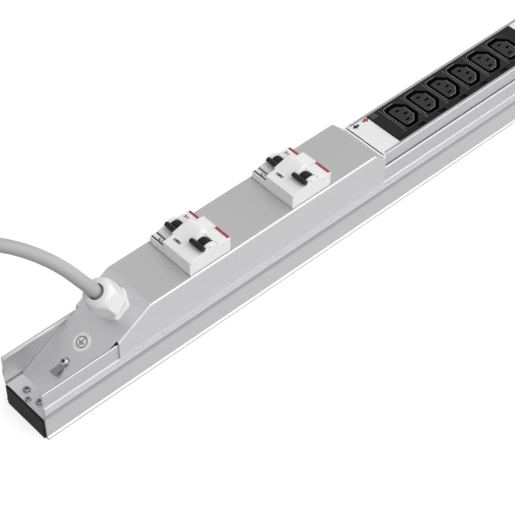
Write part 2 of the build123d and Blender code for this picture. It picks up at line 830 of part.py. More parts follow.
def cable_tube(name, points):
    """A round tube of straight runs joined by tangent arcs, with its radii and volume printed."""
    radii = corner_radii(points)
    path = FilletPolyline(*points, radius=radii)
    start = Plane(origin=path @ 0, z_dir=path % 0)
    tube = sweep(start * Circle(cable_radius), path=path)
    expected = pi * cable_radius ** 2 * path.length
    print(name, "radii", [round(r) for r in radii], "length", round(path.length),
          "volume over section times length", round(tube.volume / expected, 4))
    return tube


def slope_position(along, height):
    """A point on the middle line above the slope."""
    x, z = slope_point(along, height)
    return (x, 0, z)


# Route of the cable from inside the gland to the coil, chosen by hand
cable_route = [slope_position(gland_along_slope, 2), slope_position(gland_along_slope, 40), (61.5, 19, 130.5),
               (39.5, 41, 148.5), (15, 62, 156), (-8, 80, 143), (-27, 91, 114), (-44, 93.5, 78), (-64, 93, 46),
               (-91, 92, 20), (-124, 89.5, 7)]

# Route from the top of the coil to the plug that lies on it, chosen by hand
tail_route = [(-112, 79.5, 30), (-143, 80, 34), (-175, 79, 39), (-203.5, 63, 44), (-214, 33, 49),
              (-203.5, 2, 54), (-176, -14, 58), (-145, -14, 58)]


def cable_coil():
    """Outer shape of the coiled cable: a ring with rounded edges."""
    x, y = coil_centre
    section = RectangleRounded(2 * coil_half_width, coil_height, cable_radius - 0.5)
    section = Plane.XZ * Pos(coil_mean_radius, coil_height / 2) * section
    return Pos(x, y, 0) * revolve(section, Axis.Z)


def plug_lathe(outline):
    """A turned piece of the plug: points are distance from its rear and radius, axis along X."""
    face = make_face(Plane.XZ * Polyline(*outline, close=True))
    return Pos(plug_rear, plug_y, plug_height) * revolve(face, Axis.X)


def plug_pin_places():
    """Place across, height and radius of the plug's three contact pins, from its axis."""
    pins = []
    for turn, radius in ((-90, 2.9), (30, 2.4), (150, 2.4)):
        pins.append((9 * cos(radians(turn)), 9 * sin(radians(turn)), radius))
    return pins


def plug_rod(start, end, y, z, radius):
    """A round bar along the plug's axis, from its rear."""
    place = Pos(plug_rear + (start + end) / 2, plug_y + y, plug_height + z)
    return place * Rot(0, 90, 0) * Cylinder(radius, end - start)


def plug_body():
    """Body and shroud of the industrial plug, open at the front, with the key on the shroud."""
    outline = [(16, 0), (16, 12.5), (20, 15), (46, 20), (48, plug_radius), (54, plug_radius), (56, 20.5),
               (plug_length, 20.5), (plug_length, 18), (plug_pocket, 18), (plug_pocket, 0)]
    body = plug_lathe(outline)
    low = plug_height - plug_radius + 0.4
    body += block(plug_rear + 56, plug_rear + plug_length, plug_y - 2.5, plug_y + 2.5, low, low + 2.4)
    for y, z, radius in plug_pin_places():
        body -= plug_rod(plug_pocket - 5, plug_pocket + 5, y, z, radius + running_fit)
    return body


def plug_pins():
    """Contact pins inside the shroud."""
    pins = []
    for y, z, radius in plug_pin_places():
        pin = plug_rod(plug_pocket - 5, plug_length - 5, y, z, radius)
        pins.append(fillet(pin.edges().sort_by(Axis.X)[-1], 1.2))
    return pins


def plug_nut():
    """Cable nut at the plug's rear."""
    inner = cable_radius + 0.1
    return plug_lathe([(0, 8.5), (4, 12.5), (16, 12.5), (16, inner), (0, inner)])


def main():
    """Write every node."""
    os.makedirs("parts", exist_ok=True)
    save("rail_profile", rail_profile())
    save("press_nuts", *press_nuts())
    save("end_cap_near", end_cap_near())
    save("end_cap_far", end_cap_far())
    save("infeed_cover", infeed_cover())
    save("tongue_screws", *tongue_screws())
    save("earth_stud", earth_stud())
    save("earth_nut", earth_nut())
    save("earth_blade", earth_blade())
    save("earth_label", earth_label())
    save("gland_body", gland_body())
    save("gland_locknut", gland_locknut())
    save("gland_cap_nut", gland_cap_nut())
    save("gland_seal", gland_seal())
    save("top_hat_rails", *top_hat_rails())
    save("conductor_carrier", conductor_carrier())
    save("conductor_bars", *conductor_bars())
    save("terminal_block", terminal_block())
    save("infeed_wires", *infeed_wires())
    for number, start in enumerate(breaker_starts, 1):
        save(f"breaker_{number}_narrow", narrow_device(start))
        save(f"breaker_{number}_wide", wide_device(start))
        save(f"breaker_{number}_narrow_toggle", narrow_toggle(start))
        save(f"breaker_{number}_wide_toggle", wide_toggle(start))
    for i in range(module_count):
        start = module_start + i * module_pitch
        save(f"module_{i + 1}_housing", module_housing(start))
        save(f"module_{i + 1}_insert", module_insert(start))
        save(f"module_{i + 1}_contacts", *module_contacts(start))
        save(f"module_{i + 1}_end_near", module_end(start, -1))
        save(f"module_{i + 1}_end_far", module_end(start, 1))
        save(f"module_{i + 1}_marker", module_marker(start))
    coil = cable_coil()
    save("cable_coil", coil)
    save("mains_cable", cable_tube("mains_cable", cable_route) - coil)
    save("cable_tail", cable_tube("cable_tail", tail_route) - coil)
    save("plug_body", plug_body())
    save("plug_pins", *plug_pins())
    save("plug_nut", plug_nut())
    print("rail length", round(rail_length, 2), "module start", round(module_start, 2))


main()
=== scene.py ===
"""Looks of the rack power busbar: camera, light, materials and the surfaces that show in the picture.

Metres, +Z up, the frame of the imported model. Places along the rail are first given in millimetres from
its infeed end, because that is how they were measured, and shifted by half the rail's length.
"""
import json
import math

import bpy
import numpy as np
from mathutils import Matrix, Vector
from mathutils.geometry import delaunay_2d_cdt


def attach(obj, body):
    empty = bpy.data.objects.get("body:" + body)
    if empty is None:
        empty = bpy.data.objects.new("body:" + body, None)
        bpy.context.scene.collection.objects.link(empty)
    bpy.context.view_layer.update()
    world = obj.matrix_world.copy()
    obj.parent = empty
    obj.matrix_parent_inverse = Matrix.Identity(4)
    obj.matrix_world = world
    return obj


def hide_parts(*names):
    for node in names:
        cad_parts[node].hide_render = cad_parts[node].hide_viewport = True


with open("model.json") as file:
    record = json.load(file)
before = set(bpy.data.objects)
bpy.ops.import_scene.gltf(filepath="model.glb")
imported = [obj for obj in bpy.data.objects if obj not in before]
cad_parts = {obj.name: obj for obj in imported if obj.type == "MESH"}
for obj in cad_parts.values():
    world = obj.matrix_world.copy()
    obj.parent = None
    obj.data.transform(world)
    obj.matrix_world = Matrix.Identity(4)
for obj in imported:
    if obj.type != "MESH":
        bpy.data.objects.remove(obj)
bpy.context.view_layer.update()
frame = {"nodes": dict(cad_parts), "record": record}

MM = 0.001
HALF_LENGTH = 445.0

# The infeed cover in millimetres: its slope's angle, the bend where it starts and the tongue's top.
SLOPE = math.radians(30.2)
SLOPE_START = 16.5
TONGUE_TOP = 24.5


def at(x, y, z):
    """A point given in millimetres from the infeed end, in metres in the model's frame."""
    return ((x - HALF_LENGTH) * MM, y * MM, z * MM)


def slope_point(along, height=0.0):
    """A point on the slope, in millimetres: along it from its lower bend, and above its face."""
    x = SLOPE_START + along * math.cos(SLOPE) - height * math.sin(SLOPE)
    z = TONGUE_TOP + along * math.sin(SLOPE) + height * math.cos(SLOPE)
    return (x, 0.0, z)


# Camera

def add_camera():
    """The photograph's camera: its place, its turn and its focal length."""
    data = bpy.data.cameras.new("camera")
    data.lens = 119.42
    data.sensor_width = 36.0
    data.clip_end = 20.0
    camera = bpy.data.objects.new("camera", data)
    right = Vector((0.7398, -0.6728, 0.0))
    up = Vector((0.4932, 0.5423, 0.6802))
    back = Vector((-0.4576, -0.5033, 0.7330))
    matrix = Matrix((right, up, back)).transposed().to_4x4()
    matrix.translation = Vector(at(-441.8, -769.3, 1131.9))
    camera.matrix_world = matrix
    bpy.context.scene.collection.objects.link(camera)
    bpy.context.scene.camera = camera


# Surfaces

def mesh_piece(name, points, faces, material, body, smooth=True):
    """A piece from points in millimetres from the infeed end and faces, riding on a body."""
    mesh = bpy.data.meshes.new(name)
    places = np.asarray(points, float)
    places = (places - (HALF_LENGTH, 0, 0)) * MM
    mesh.from_pydata(places.tolist(), [], faces)
    mesh.polygons.foreach_set("use_smooth", [smooth] * len(mesh.polygons))
    mesh.materials.append(material)
    piece = bpy.data.objects.new(name, mesh)
    bpy.context.scene.collection.objects.link(piece)
    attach(piece, body)
    return piece


# Steps of a rounded end edge, and the turn in radians under which a corner is a straight run.
EDGE_STEPS = 4
NEARLY_STRAIGHT = 0.05


def ring_faces(rings, count):
    """Quads between neighbouring closed rings of count points each."""
    here = np.arange(count)
    after = (here + 1) % count
    quads = np.stack([here, after, after + count, here + count], axis=-1)
    starts = np.arange(rings - 1)[:, None, None] * count
    return (quads + starts).reshape(-1, 4).tolist()


def rounded_outline(corners, steps=6):
    """Arcs of a closed outline: a circle's centre, radius and outward normal for each of its points.

    corners are (x, y, radius), anticlockwise. At each corner the arc touches both sides: it starts
    radius * tan(half the turn) before the corner, its centre lies a radius to the left of that start,
    and it sweeps from one side's normal to the other's. Where the outline turns clockwise the radius
    counts as negative, so that moving the outline in by an inset is centre + (radius - inset) * normal
    everywhere."""
    data = np.asarray(corners, float)
    places, sizes = data[:, :2], data[:, 2]
    arcs = []
    for i, (here, size) in enumerate(zip(places, sizes)):
        before = here - places[i - 1]
        after = places[(i + 1) % len(places)] - here
        turn_before = math.atan2(before[1], before[0])
        turn_after = math.atan2(after[1], after[0])
        turn = (turn_after - turn_before + math.pi) % (2 * math.pi) - math.pi
        radius = size if turn >= 0 else -size
        start = here - before / np.linalg.norm(before) * size * math.tan(abs(turn) / 2)
        left = np.array((-math.sin(turn_before), math.cos(turn_before)))
        centre = start + left * radius
        shares = np.linspace(0, 1, steps + 1 if abs(turn) > NEARLY_STRAIGHT else 2)
        angles = turn_before + turn * shares - math.pi / 2
        circle = np.tile((*centre, radius), (len(angles), 1))
        arcs.append(np.column_stack([circle, np.cos(angles), np.sin(angles)]))
    return np.concatenate(arcs)


def outline_points(outline, inset=0.0):
    """The outline's points, moved in by an inset: centre + (radius - inset) * normal."""
    return outline[:, :2] + (outline[:, 2:3] - inset) * outline[:, 3:5]


def moved(outline, x, y):
    """An outline moved in its plane."""
    return outline + np.array((x, y, 0, 0, 0))


def rectangle(x0, x1, y0, y1, rounding, steps=3):
    """A rectangle with rounded corners."""
    corners = [(x0, y0, rounding), (x1, y0, rounding), (x1, y1, rounding), (x0, y1, rounding)]
    return rounded_outline(corners, steps)


def disc(radius, count):
    """A circle as an outline."""
    angles = np.linspace(0, 2 * math.pi, count, endpoint=False)
    zero = np.zeros(count)
    return np.stack([zero, zero, zero + radius, np.cos(angles), np.sin(angles)], -1)


def edge_rings(edge, depth, ends=(True, True)):
    """Inset and depth of each ring of a prism whose end edges are quarter circles of radius edge: at a
    turn t the ring is moved in by edge * (1 - sin t) and sunk by edge * (1 - cos t)."""
    turns = np.linspace(0, math.pi / 2, EDGE_STEPS + 1)
    rounded = [(edge * (1 - math.sin(t)), edge * (1 - math.cos(t))) for t in turns]
    first = rounded if ends[0] else [(0, 0)]
    last = [(inset, depth - sunk) for inset, sunk in reversed(rounded)] if ends[1] else [(0, depth)]
    return first + last


def prism(outline, origin, across, up, along, depth, edge, ends=(True, True)):
    """Points and faces of an outline carried along a direction, with rounded end edges.

    A point is origin + across * u + up * v + along * d, where (u, v) is the outline moved in by the
    inset of the ring at depth d."""
    place, across, up, along = (np.asarray(item, float) for item in (origin, across, up, along))
    rings = edge_rings(edge, depth, ends)
    points = []
    for inset, at_depth in rings:
        flat = outline_points(outline, inset)
        points.append(place + flat[:, :1] * across + flat[:, 1:] * up + along * at_depth)
    count = len(outline)
    total = len(rings) * count
    faces = ring_faces(len(rings), count)
    faces.append(tuple(range(count))[::-1])
    faces.append(tuple(range(total - count, total)))
    return np.concatenate(points), faces


def raised(outline, z, thickness, edge):
    """A flat outline carried up from a height by a thickness."""
    return prism(outline, (0, 0, z), (1, 0, 0), (0, 1, 0), (0, 0, 1), thickness, edge)


def pad(x0, x1, y0, y1, z, thickness=0.12, corner=0.2):
    """A thin flat pad on top of something, as printed marks and labels are."""
    return raised(rectangle(x0, x1, y0, y1, corner), z, thickness, 0.03)


def joined(parts):
    """Points and faces of several parts in one."""
    points, faces, start = [], [], 0
    for part_points, part_faces in parts:
        points.append(np.asarray(part_points, float))
        faces += [tuple(start + i for i in face) for face in part_faces]
        start += len(part_points)
    return np.concatenate(points), faces


def polar_surface(radius_of, profile, origin, across, up, along, count):
    """Points and faces of a surface round an axis: at each (radius, height) of a profile the ring's
    radius at an angle is radius_of(angle, radius)."""
    place, across, up, along = (np.asarray(item, float) for item in (origin, across, up, along))
    angles = np.linspace(0, 2 * math.pi, count, endpoint=False)
    points = []
    for radius, height in profile:
        reach = radius_of(angles, radius)
        ring = np.outer(reach * np.cos(angles), across) + np.outer(reach * np.sin(angles), up)
        points.append(ring + along * height + place)
    return np.concatenate(points), ring_faces(len(profile), count)


# Breaker units

# In millimetres: where each unit's nose starts, the nose's length, half the unit's width, and the
# toggles' pivots from the nose's front. The wide device is on the near side and the narrow one on the
# far side. Of each: the height of its nose, what that rises by or to at the toggle, its pivot's height,
# the radius of the hump round the pivot, and its toggle's middle. Last, half the width of the slots for
# the toggles' barrels.
DEVICE_STARTS = {1: 158.6, 2: 275.0}
NOSE = 45.0
UNIT_HALF = 26.1
PIVOT = 23.4
WIDE_TOP = 96.3
WIDE_CROWN = 1.2
WIDE_PIVOT = 94.2
WIDE_HUMP = 7.0
WIDE_MIDDLE = -17.25
NARROW_TOP = 89.4
NARROW_RIDGE = 90.9
NARROW_PIVOT = 88.8
NARROW_HUMP = 6.2
NARROW_MIDDLE = 17.5
SLOT_HALF = 4.7

# Of each toggle: its middle across the rail, its pivot's height, its hump's radius and half its blade's
# width. It leans to the front.
TOGGLES = {"wide": (WIDE_MIDDLE, WIDE_PIVOT, WIDE_HUMP, 8.0),
           "narrow": (NARROW_MIDDLE, NARROW_PIVOT, NARROW_HUMP, 6.3)}
TOGGLE_LEAN = math.radians(48)


def across_rail(outline, y0, y1, edge, ends=(True, True)):
    """An outline in the X-Z plane carried across the rail from y1 down to y0."""
    return prism(outline, (0, y1, 0), (1, 0, 0), (0, 0, 1), (0, -1, 0), y1 - y0, edge, ends)


def wide_top(start, x):
    """Height of the wide device's slightly arched top at x: it rises by the crown times 1 - t^2, with t
    from -1 to 1 along the nose."""
    t = (x - start - NOSE / 2) / (NOSE / 2)
    return WIDE_TOP + WIDE_CROWN * (1 - t * t)


def device_outline(start, top_points):
    """Side outline of a device: foot, notch over its mounting rail, shoulders and the given points over
    its nose."""
    foot, seat, shoulder = 33.5, 38.35, 77.5
    half_length, half_notch = 45.0, 17.9
    centre, end = start + NOSE / 2, start + NOSE
    first, last = centre - half_length, centre + half_length
    corners = [(first, foot, 0.8), (centre - half_notch, foot, 0.3), (centre - half_notch, seat, 0.3),
               (centre + half_notch, seat, 0.3), (centre + half_notch, foot, 0.3), (last, foot, 0.8),
               (last, shoulder - 2, 0.8), (end, shoulder, 0.4)]
    corners += top_points + [(start, shoulder, 0.4), (first, shoulder - 2, 0.8)]
    return rounded_outline(corners)


def hump_points(x, z, radius, base):
    """A half-round rise over a toggle's pivot, from the +X side."""
    return [(x + radius + 0.4, base, 1.2), (x + radius - 0.1, z + radius, 0.92 * radius),
            (x - radius + 0.1, z + radius, 0.92 * radius), (x - radius - 0.4, base, 1.2)]


def well_points(x, z, radius, base):
    """A half-round well for a toggle's barrel, from the +X side."""
    return [(x + radius, base, 0.3), (x + radius, z - radius, 0.9 * radius),
            (x - radius, z - radius, 0.9 * radius), (x - radius, base, 0.3)]


def wide_top_points(start, middle):
    """Nose of the wide device, with the given points at the toggle's pivot."""
    end = start + NOSE
    after = [(end, WIDE_TOP - 0.2, 0.7), (start + 36, wide_top(start, start + 36), 20)]
    before = [(start + 10, wide_top(start, start + 10), 20), (start, WIDE_TOP - 0.2, 0.7)]
    return after + middle + before


def narrow_top_points(start, middle):
    """Nose of the narrow device: low label step in front, a soft rise behind the toggle."""
    end = start + NOSE
    after = [(end, NARROW_TOP - 0.2, 0.6), (start + 41, 90.2, 3), (start + 33.4, 91.2, 6)]
    before = [(start + 13.4, 90.2, 1), (start + 8.5, 89.9, 0.3),
              (start + 8.2, 88.9, 0.3), (start, 88.7, 0.5)]
    return after + middle + before


def add_wide_device(number, start, material):
    """The wide device: toggle module with its hump and well, and the plain middle module."""
    x, z = start + PIVOT, WIDE_PIVOT
    base = wide_top(start, x)
    hump = device_outline(start, wide_top_points(start, hump_points(x, z, WIDE_HUMP + 0.2, base)))
    well = device_outline(start, wide_top_points(start, well_points(x, z, WIDE_HUMP + 0.3, base)))
    plain = device_outline(start, wide_top_points(start, [(x, base, 20)]))
    slot = (WIDE_MIDDLE - SLOT_HALF, WIDE_MIDDLE + SLOT_HALF)
    seam, far_side = -8.6, 8.6
    parts = [across_rail(hump, -UNIT_HALF, slot[0], 0.5, (False, True)),
             across_rail(well, *slot, 0.0, (False, False)),
             across_rail(hump, slot[1], seam, 0.5, (True, False)),
             across_rail(plain, seam, far_side, 0.5, (True, False))]
    piece = mesh_piece(f"wide_device_{number}", *joined(parts), material, "base", smooth=False)
    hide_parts(f"breaker_{number}_wide")


def add_narrow_device(number, start, material):
    """The narrow device on the far side: a well for the toggle's barrel between two humps."""
    x, z = start + PIVOT, NARROW_PIVOT
    hump_over = hump_points(x, z, NARROW_HUMP, NARROW_RIDGE)
    well_under = well_points(x, z, NARROW_HUMP + 0.3, NARROW_RIDGE)
    hump = device_outline(start, narrow_top_points(start, hump_over))
    well = device_outline(start, narrow_top_points(start, well_under))
    near_side = 8.75
    slot = (NARROW_MIDDLE - SLOT_HALF, NARROW_MIDDLE + SLOT_HALF)
    parts = [across_rail(hump, near_side, slot[0], 0.5, (False, True)),
             across_rail(well, *slot, 0.0, (False, False)),
             across_rail(hump, slot[1], UNIT_HALF, 0.5, (True, False))]
    piece = mesh_piece(f"narrow_device_{number}", *joined(parts), material, "base", smooth=False)
    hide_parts(f"breaker_{number}_narrow")


def add_raised_cover(number, start, material):
    """The smooth raised cover in the middle: a long rise to a ridge and a short fall behind it, one
    outline carried across the rail, a little over the narrow device too."""
    front, back, foot = start + 11.5, start + 34.4, 90.0
    near_side, far_side = -8.3, 10.9
    top = wide_top(start, start + 29)
    corners = [(front, foot, 0.3), (back, foot, 0.3), (back, top - 0.6, 0.8),
               (start + 32.2, top + 3.9, 3.6), (start + 27.5, top + 3.7, 12.0),
               (start + 18.0, top + 1.3, 20.0), (front, wide_top(start, front) - 0.1, 1.0)]
    points, faces = across_rail(rounded_outline(corners, 10), near_side, far_side, 1.3)
    piece = mesh_piece(f"raised_cover_{number}", points, faces, material, "base", smooth=False)


def ribbed_outline(radius, ribs, depth):
    """A circle with ribs: the radius falls by depth between them as a cosine."""
    angles = np.linspace(0, 2 * math.pi, ribs * 6, endpoint=False)
    radii = radius - depth * (0.5 - 0.5 * np.cos(angles * ribs))
    zero = np.zeros_like(angles)
    return np.stack([zero, zero, radii, np.cos(angles), np.sin(angles)], -1)


def add_toggle(number, size, start, material):
    """A toggle: ribbed barrel, neck and blade, each an outline carried across the rail. Neck and blade
    stand on axes that are turned by the lean."""
    y, z, hump, half_blade = TOGGLES[size]
    upright = ((1, 0, 0), (0, 0, 1))
    leaning = ((math.cos(TOGGLE_LEAN), 0, math.sin(TOGGLE_LEAN)),
               (-math.sin(TOGGLE_LEAN), 0, math.cos(TOGGLE_LEAN)))

    def carried(outline, axes, half_width, edge):
        place = (start + PIVOT, y + half_width, z)
        return prism(outline, place, *axes, (0, -1, 0), 2 * half_width, edge)

    foot = hump + 0.5
    tip = foot + 5.2
    barrel = ribbed_outline(hump - 0.1, 20, 0.5)
    neck = rounded_outline([(-1.9, 0, 0.4), (1.9, 0, 0.4), (1.9, foot + 1, 0.5), (-1.9, foot + 1, 0.5)])
    blade = rounded_outline([(-2.3, foot, 1.2), (2.2, foot, 1.2), (2.0, tip, 1.5), (-2.1, tip, 1.2)])
    parts = [carried(barrel, upright, 4.4, 0.3), carried(neck, leaning, 4.3, 0.3),
             carried(blade, leaning, half_blade, 1.0)]
    piece = mesh_piece(f"{size}_toggle_{number}", *joined(parts), material, f"toggle_{number}_{size}")
    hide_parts(f"breaker_{number}_{size}_toggle")


def add_device_marks(number, start, materials):
    """Red strips, black lines, window and small dots of a breaker unit, as thin pads and discs. The black
    line at the foot of the narrow device's step is painted shadow.

    A row gives the two ends of a pad from the nose's front and its two sides across the rail."""
    def pads(rows, z, thickness, corner=0.2):
        return [pad(start + x0, start + x1, y0, y1, z, thickness, corner) for x0, x1, y0, y1 in rows]

    def add(name, parts, material):
        mesh_piece(f"{name}_{number}", *joined(parts), materials[material], "base", smooth=False)

    strips = pads([(42.1, 44.7, 9.4, 25.4)], NARROW_TOP + 0.15, 0.5)
    strips += pads([(42.1, 44.7, -25.4, -8.9)], WIDE_TOP, 0.45)
    add("red_strips", strips, "red_mark")

    label_step, window_top, rise_top = 88.8, wide_top(start, start + 9), 92.0
    lines = pads([(1.1, 2.7, 9.6, 25.6)], label_step - 0.05, 0.14)
    # Painted shadow: a black line at the foot of the step up behind the label.
    lines += pads([(6.5, 7.9, 10.6, 25.6)], label_step + 0.05, 0.14)
    lines += pads([(3.3, 5.9, 17.9, 18.7), (3.3, 4.1, 16, 18.4), (3.3, 5.9, 14.2, 15.0)],
                  label_step, 0.14)
    lines += pads([(7.6, 10.1, -4.0, 3.9)], window_top, 0.12, 0.5)
    lines += pads([(36, 36.8, 17.5, 21.5), (34.5, 38, 21.2, 21.9)], rise_top, 0.12)
    add("black_marks", lines, "black_mark")

    figures = pads([(8.2, 9.6, -3.2, -1.4), (8.2, 9.6, 1.2, 3.0)], window_top + 0.12, 0.05)
    add("pale_marks", figures, "grey_mark")

    rounds = [moved(disc(radius, 16), start + x, z)
              for x, z, radius in ((21.6, 100.4, 0.6), (36.1, 93.2, 0.4), (1.6, 95.0, 0.4))]
    dots = [across_rail(dot, -UNIT_HALF - 0.06, -UNIT_HALF + 0.05, 0.01) for dot in rounds]
    add("side_dots", dots, "black_mark")


# Outlet modules

# In millimetres: where each module starts, the level of the marks on its end piece, its first outlet
# from its start, the outlets' pitch and their middle across the rail, and the tops of their frames and
# cores.
MODULE_STARTS = {1: 387.5, 2: 631.8}
MARK_LEVEL = 71.1
FIRST_OUTLET = 52.4
OUTLET_PITCH = 27.8
OUTLET_COUNT = 6
OUTLET_MIDDLE = 1.4
FRAME_TOP = 72.2
CORE_TOP = 71.6

# Half the length along the rail and half the width across it of an outlet's frame. Of its socket and its
# core: half the width across, half the length along, the cut of the corners and their rounding.
CELL_ALONG = 13.4
CELL_ACROSS = 18.2
SOCKET = (16.2, 11.5, 8.2, 4.4)
CORE = (12.15, 8.05, 6.1, 3.0)

# The middles of an outlet's three slots, along and across from its own, and half their size each way.
SLOT_MIDDLES = ((-1.2, 7.0), (-1.2, -7.0), (2.8, 0.0))
SLOT_ALONG = 2.3
SLOT_ACROSS = 1.2


def socket_corners(half_across, half_along, cut, rounding):
    """Corners of an outlet outline: a rectangle with its two corners on the earth side cut."""
    return [(-half_along, -half_across, rounding), (half_along - cut, -half_across, rounding),
            (half_along, cut - half_across, rounding), (half_along, half_across - cut, rounding),
            (half_along - cut, half_across, rounding), (-half_along, half_across, rounding)]


def inside(places, polygon):
    """Whether each place lies in a polygon: a line from it crosses the sides an odd number of times."""
    x, y = places[:, :1], places[:, 1:]
    x0, y0 = polygon.T
    x1, y1 = np.roll(x0, -1), np.roll(y0, -1)
    level = np.where(y1 == y0, 1.0, y1 - y0)
    crossed = ((y0 > y) != (y1 > y)) & (x < x0 + (y - y0) * (x1 - x0) / level)
    return crossed.sum(axis=1) % 2 == 1


def fill(loops):
    """Triangles between an outer loop of points and the loops of its holes."""
    points = np.concatenate(loops)
    edges, start = [], 0
    for loop in loops:
        here = np.arange(len(loop))
        edges += (np.column_stack([here, np.roll(here, -1)]) + start).tolist()
        start += len(loop)
    result = delaunay_2d_cdt([Vector(point) for point in points.tolist()], edges, [], 0, 1e-6)
    triangles = np.array(result[2])
    middles = points[triangles].mean(axis=1)
    kept = inside(middles, loops[0])
    for hole in loops[1:]:
        kept &= ~inside(middles, hole)
    a, b, c = (points[triangles[:, k]] for k in range(3))
    turn = (b - a)[:, 0] * (c - a)[:, 1] - (b - a)[:, 1] * (c - a)[:, 0]
    triangles[turn < 0] = triangles[turn < 0][:, ::-1]
    return triangles[kept & (np.abs(turn) > 1e-9)]


def pierced_plate(outline, holes, top, depth, edge, hole_edge, steps=3):
    """A flat plate with holes, its upper edges quarter rounds: the outline's ring at turn t is moved in
    by edge * (1 - sin t) and lies edge * (1 - cos t) below the top, and a hole's ring is moved out."""
    turns = np.linspace(math.pi / 2, 0, steps + 1)

    def rings_of(radius, sign):
        return [(sign * radius * (1 - math.sin(t)), top - radius * (1 - math.cos(t))) for t in turns]

    outer = [(0.0, top - depth)] + rings_of(edge, 1)
    inner = rings_of(hole_edge, -1)[::-1] + [(0.0, top - depth)]
    points, faces, tops, bottoms, start = [], [], [], [], 0
    shapes = [(outline, outer, len(outer) - 1)] + [(hole, inner, 0) for hole in holes]
    for shape, rings, top_ring in shapes:
        count = len(shape)
        for inset, z in rings:
            points.append(np.column_stack([outline_points(shape, inset), np.full(count, z)]))
        faces += [tuple(start + i for i in face) for face in ring_faces(len(rings), count)]
        loop = np.arange(count) + start
        tops.append(loop + top_ring * count)
        bottoms.append(loop + (len(rings) - 1 - top_ring) * count)
        start += len(rings) * count
    points = np.concatenate(points)
    for loops, order in ((tops, 1), (bottoms, -1)):
        index = np.concatenate(loops)
        triangles = fill([points[loop][:, :2] for loop in loops])
        faces += [tuple(face) for face in index[triangles][:, ::order].tolist()]
    return points, faces


def arc_strip(outline, towards, near, far, top, depth):
    """A narrow strip along the part of an outline that faces a direction, between two insets of it."""
    facing = outline[:, 3:5] @ np.asarray(towards, float) > 0.3
    start = int(np.nonzero(facing & ~np.roll(facing, 1))[0][0])
    path = np.roll(outline, -start, axis=0)[:facing.sum()]
    rings = []
    for inset, z in ((near, top), (far, top), (far, top - depth), (near, top - depth)):
        rings.append(np.column_stack([outline_points(path, inset), np.full(len(path), z)]))
    points = np.stack(rings, axis=1).reshape(-1, 3)
    faces = [face[::-1] if near < far else face for face in ring_faces(len(path), 4)]
    ends = [(0, 1, 2, 3), tuple(len(points) - 4 + k for k in (3, 2, 1, 0))]
    return points, faces + [end if near > far else end[::-1] for end in ends]


def outlet_parts(x):
    """One outlet at x: its frame, its core with the three slots, and its rims. Frame and core are plates
    with softly rounded edges. The rims are painted highlights: light strips on the socket's edge towards -X
    and +Y and on the core's edge towards +X and -Y, and a light line in the joint before the frame."""
    y = OUTLET_MIDDLE
    cell = rectangle(x - CELL_ALONG, x + CELL_ALONG, y - CELL_ACROSS, y + CELL_ACROSS, 0.6)
    socket = moved(rounded_outline(socket_corners(*SOCKET)), x, y)
    core = moved(rounded_outline(socket_corners(*CORE)), x, y)
    slots = [rectangle(x + along - SLOT_ALONG, x + along + SLOT_ALONG,
                       y + across - SLOT_ACROSS, y + across + SLOT_ACROSS, 0.3)
             for along, across in SLOT_MIDDLES]
    joint_middle = x - OUTLET_PITCH / 2
    joint = rectangle(joint_middle - 0.15, joint_middle + 0.15, y - 18.0, y + 18.0, 0.05, 1)
    frame_plate = pierced_plate(cell, [socket], FRAME_TOP, 0.5, 0.3, 0.45)
    core_plate = pierced_plate(core, slots, CORE_TOP, 0.6, 0.5, 0.15)
    # Painted highlights: light grey strips on the socket's and the core's edges, and a light line in the
    # joint.
    rims = [arc_strip(socket, (-0.85, 0.52), -0.1, -0.5, FRAME_TOP + 0.06, 0.3),
            arc_strip(core, (0.85, -0.52), 0.5, 0.1, CORE_TOP + 0.06, 0.3),
            raised(joint, FRAME_TOP - 0.6, 0.5, 0.05)]
    return frame_plate, core_plate, joined(rims)


def add_outlets(number, start, materials):
    """The outlets of a module: all frames one piece, all cores one piece and all rims one piece."""
    places = [start + FIRST_OUTLET + i * OUTLET_PITCH for i in range(OUTLET_COUNT)]
    frames, cores, rims = zip(*[outlet_parts(x) for x in places])
    kinds = {"outlet_frames": (frames, "outlet_frame"), "outlet_cores": (cores, "outlet_core"),
             "outlet_rim_highlights": (rims, "rim_painted_highlight")}
    for name, (parts, material) in kinds.items():
        points, faces = joined(parts)
        piece = mesh_piece(f"{name}_{number}", points, faces, materials[material], f"module_{number}",
                           smooth=False)


def arrow(x, y, direction, length=7.6, half_width=3.2, half_shaft=1.3):
    """Outline of a plain arrow along the rail from its tail."""
    neck = 0.45 * length
    near = [(0, -half_shaft, 0.05), (neck, -half_shaft, 0.02), (neck, -half_width, 0.1)]
    far = [(neck, half_width, 0.1), (neck, half_shaft, 0.02), (0, half_shaft, 0.05)]
    corners = near + [(length, 0, 0.1)] + far
    return rounded_outline([(x + direction * u, y + direction * v, r) for u, v, r in corners], 2)


def add_module_marks(number, start, materials):
    """What lies on a module's end piece: two arrows, the front lip with the gap line beside it, and the
    blank block before the first outlet. The first module's lip reaches over to the infeed cover."""
    body = f"module_{number}"
    near_end, far_end = -25.2, 23.6

    def add(name, part, material):
        return mesh_piece(f"{name}_{number}", *part, materials[material], body, smooth=False)

    add("red_arrow", raised(arrow(start + 17.6, 19.4, 1), MARK_LEVEL, 0.06, 0.02), "red_mark")
    add("black_arrow", raised(arrow(start + 12.6, 18.9, -1), MARK_LEVEL, 0.06, 0.02), "black_mark")
    lip_start = start - 2.3 if number == 1 else start + 0.15
    lip_pad = pad(lip_start, start + 1.3, near_end, far_end, MARK_LEVEL, 0.4)
    add("front_lip", lip_pad, "gland_plastic")
    block = rectangle(start + 25.2, start + 38.0, -17.8, 11.5, 1.0)
    block_plate = pierced_plate(block, [], FRAME_TOP + 0.2, 0.7, 0.4, 0.1)
    add("blank_block", block_plate, "blank_black")
    gap = pad(start + 1.45, start + 1.85, near_end, far_end, MARK_LEVEL, 0.05, 0.1)
    add("gap_line", gap, "grey_mark")


# Gland

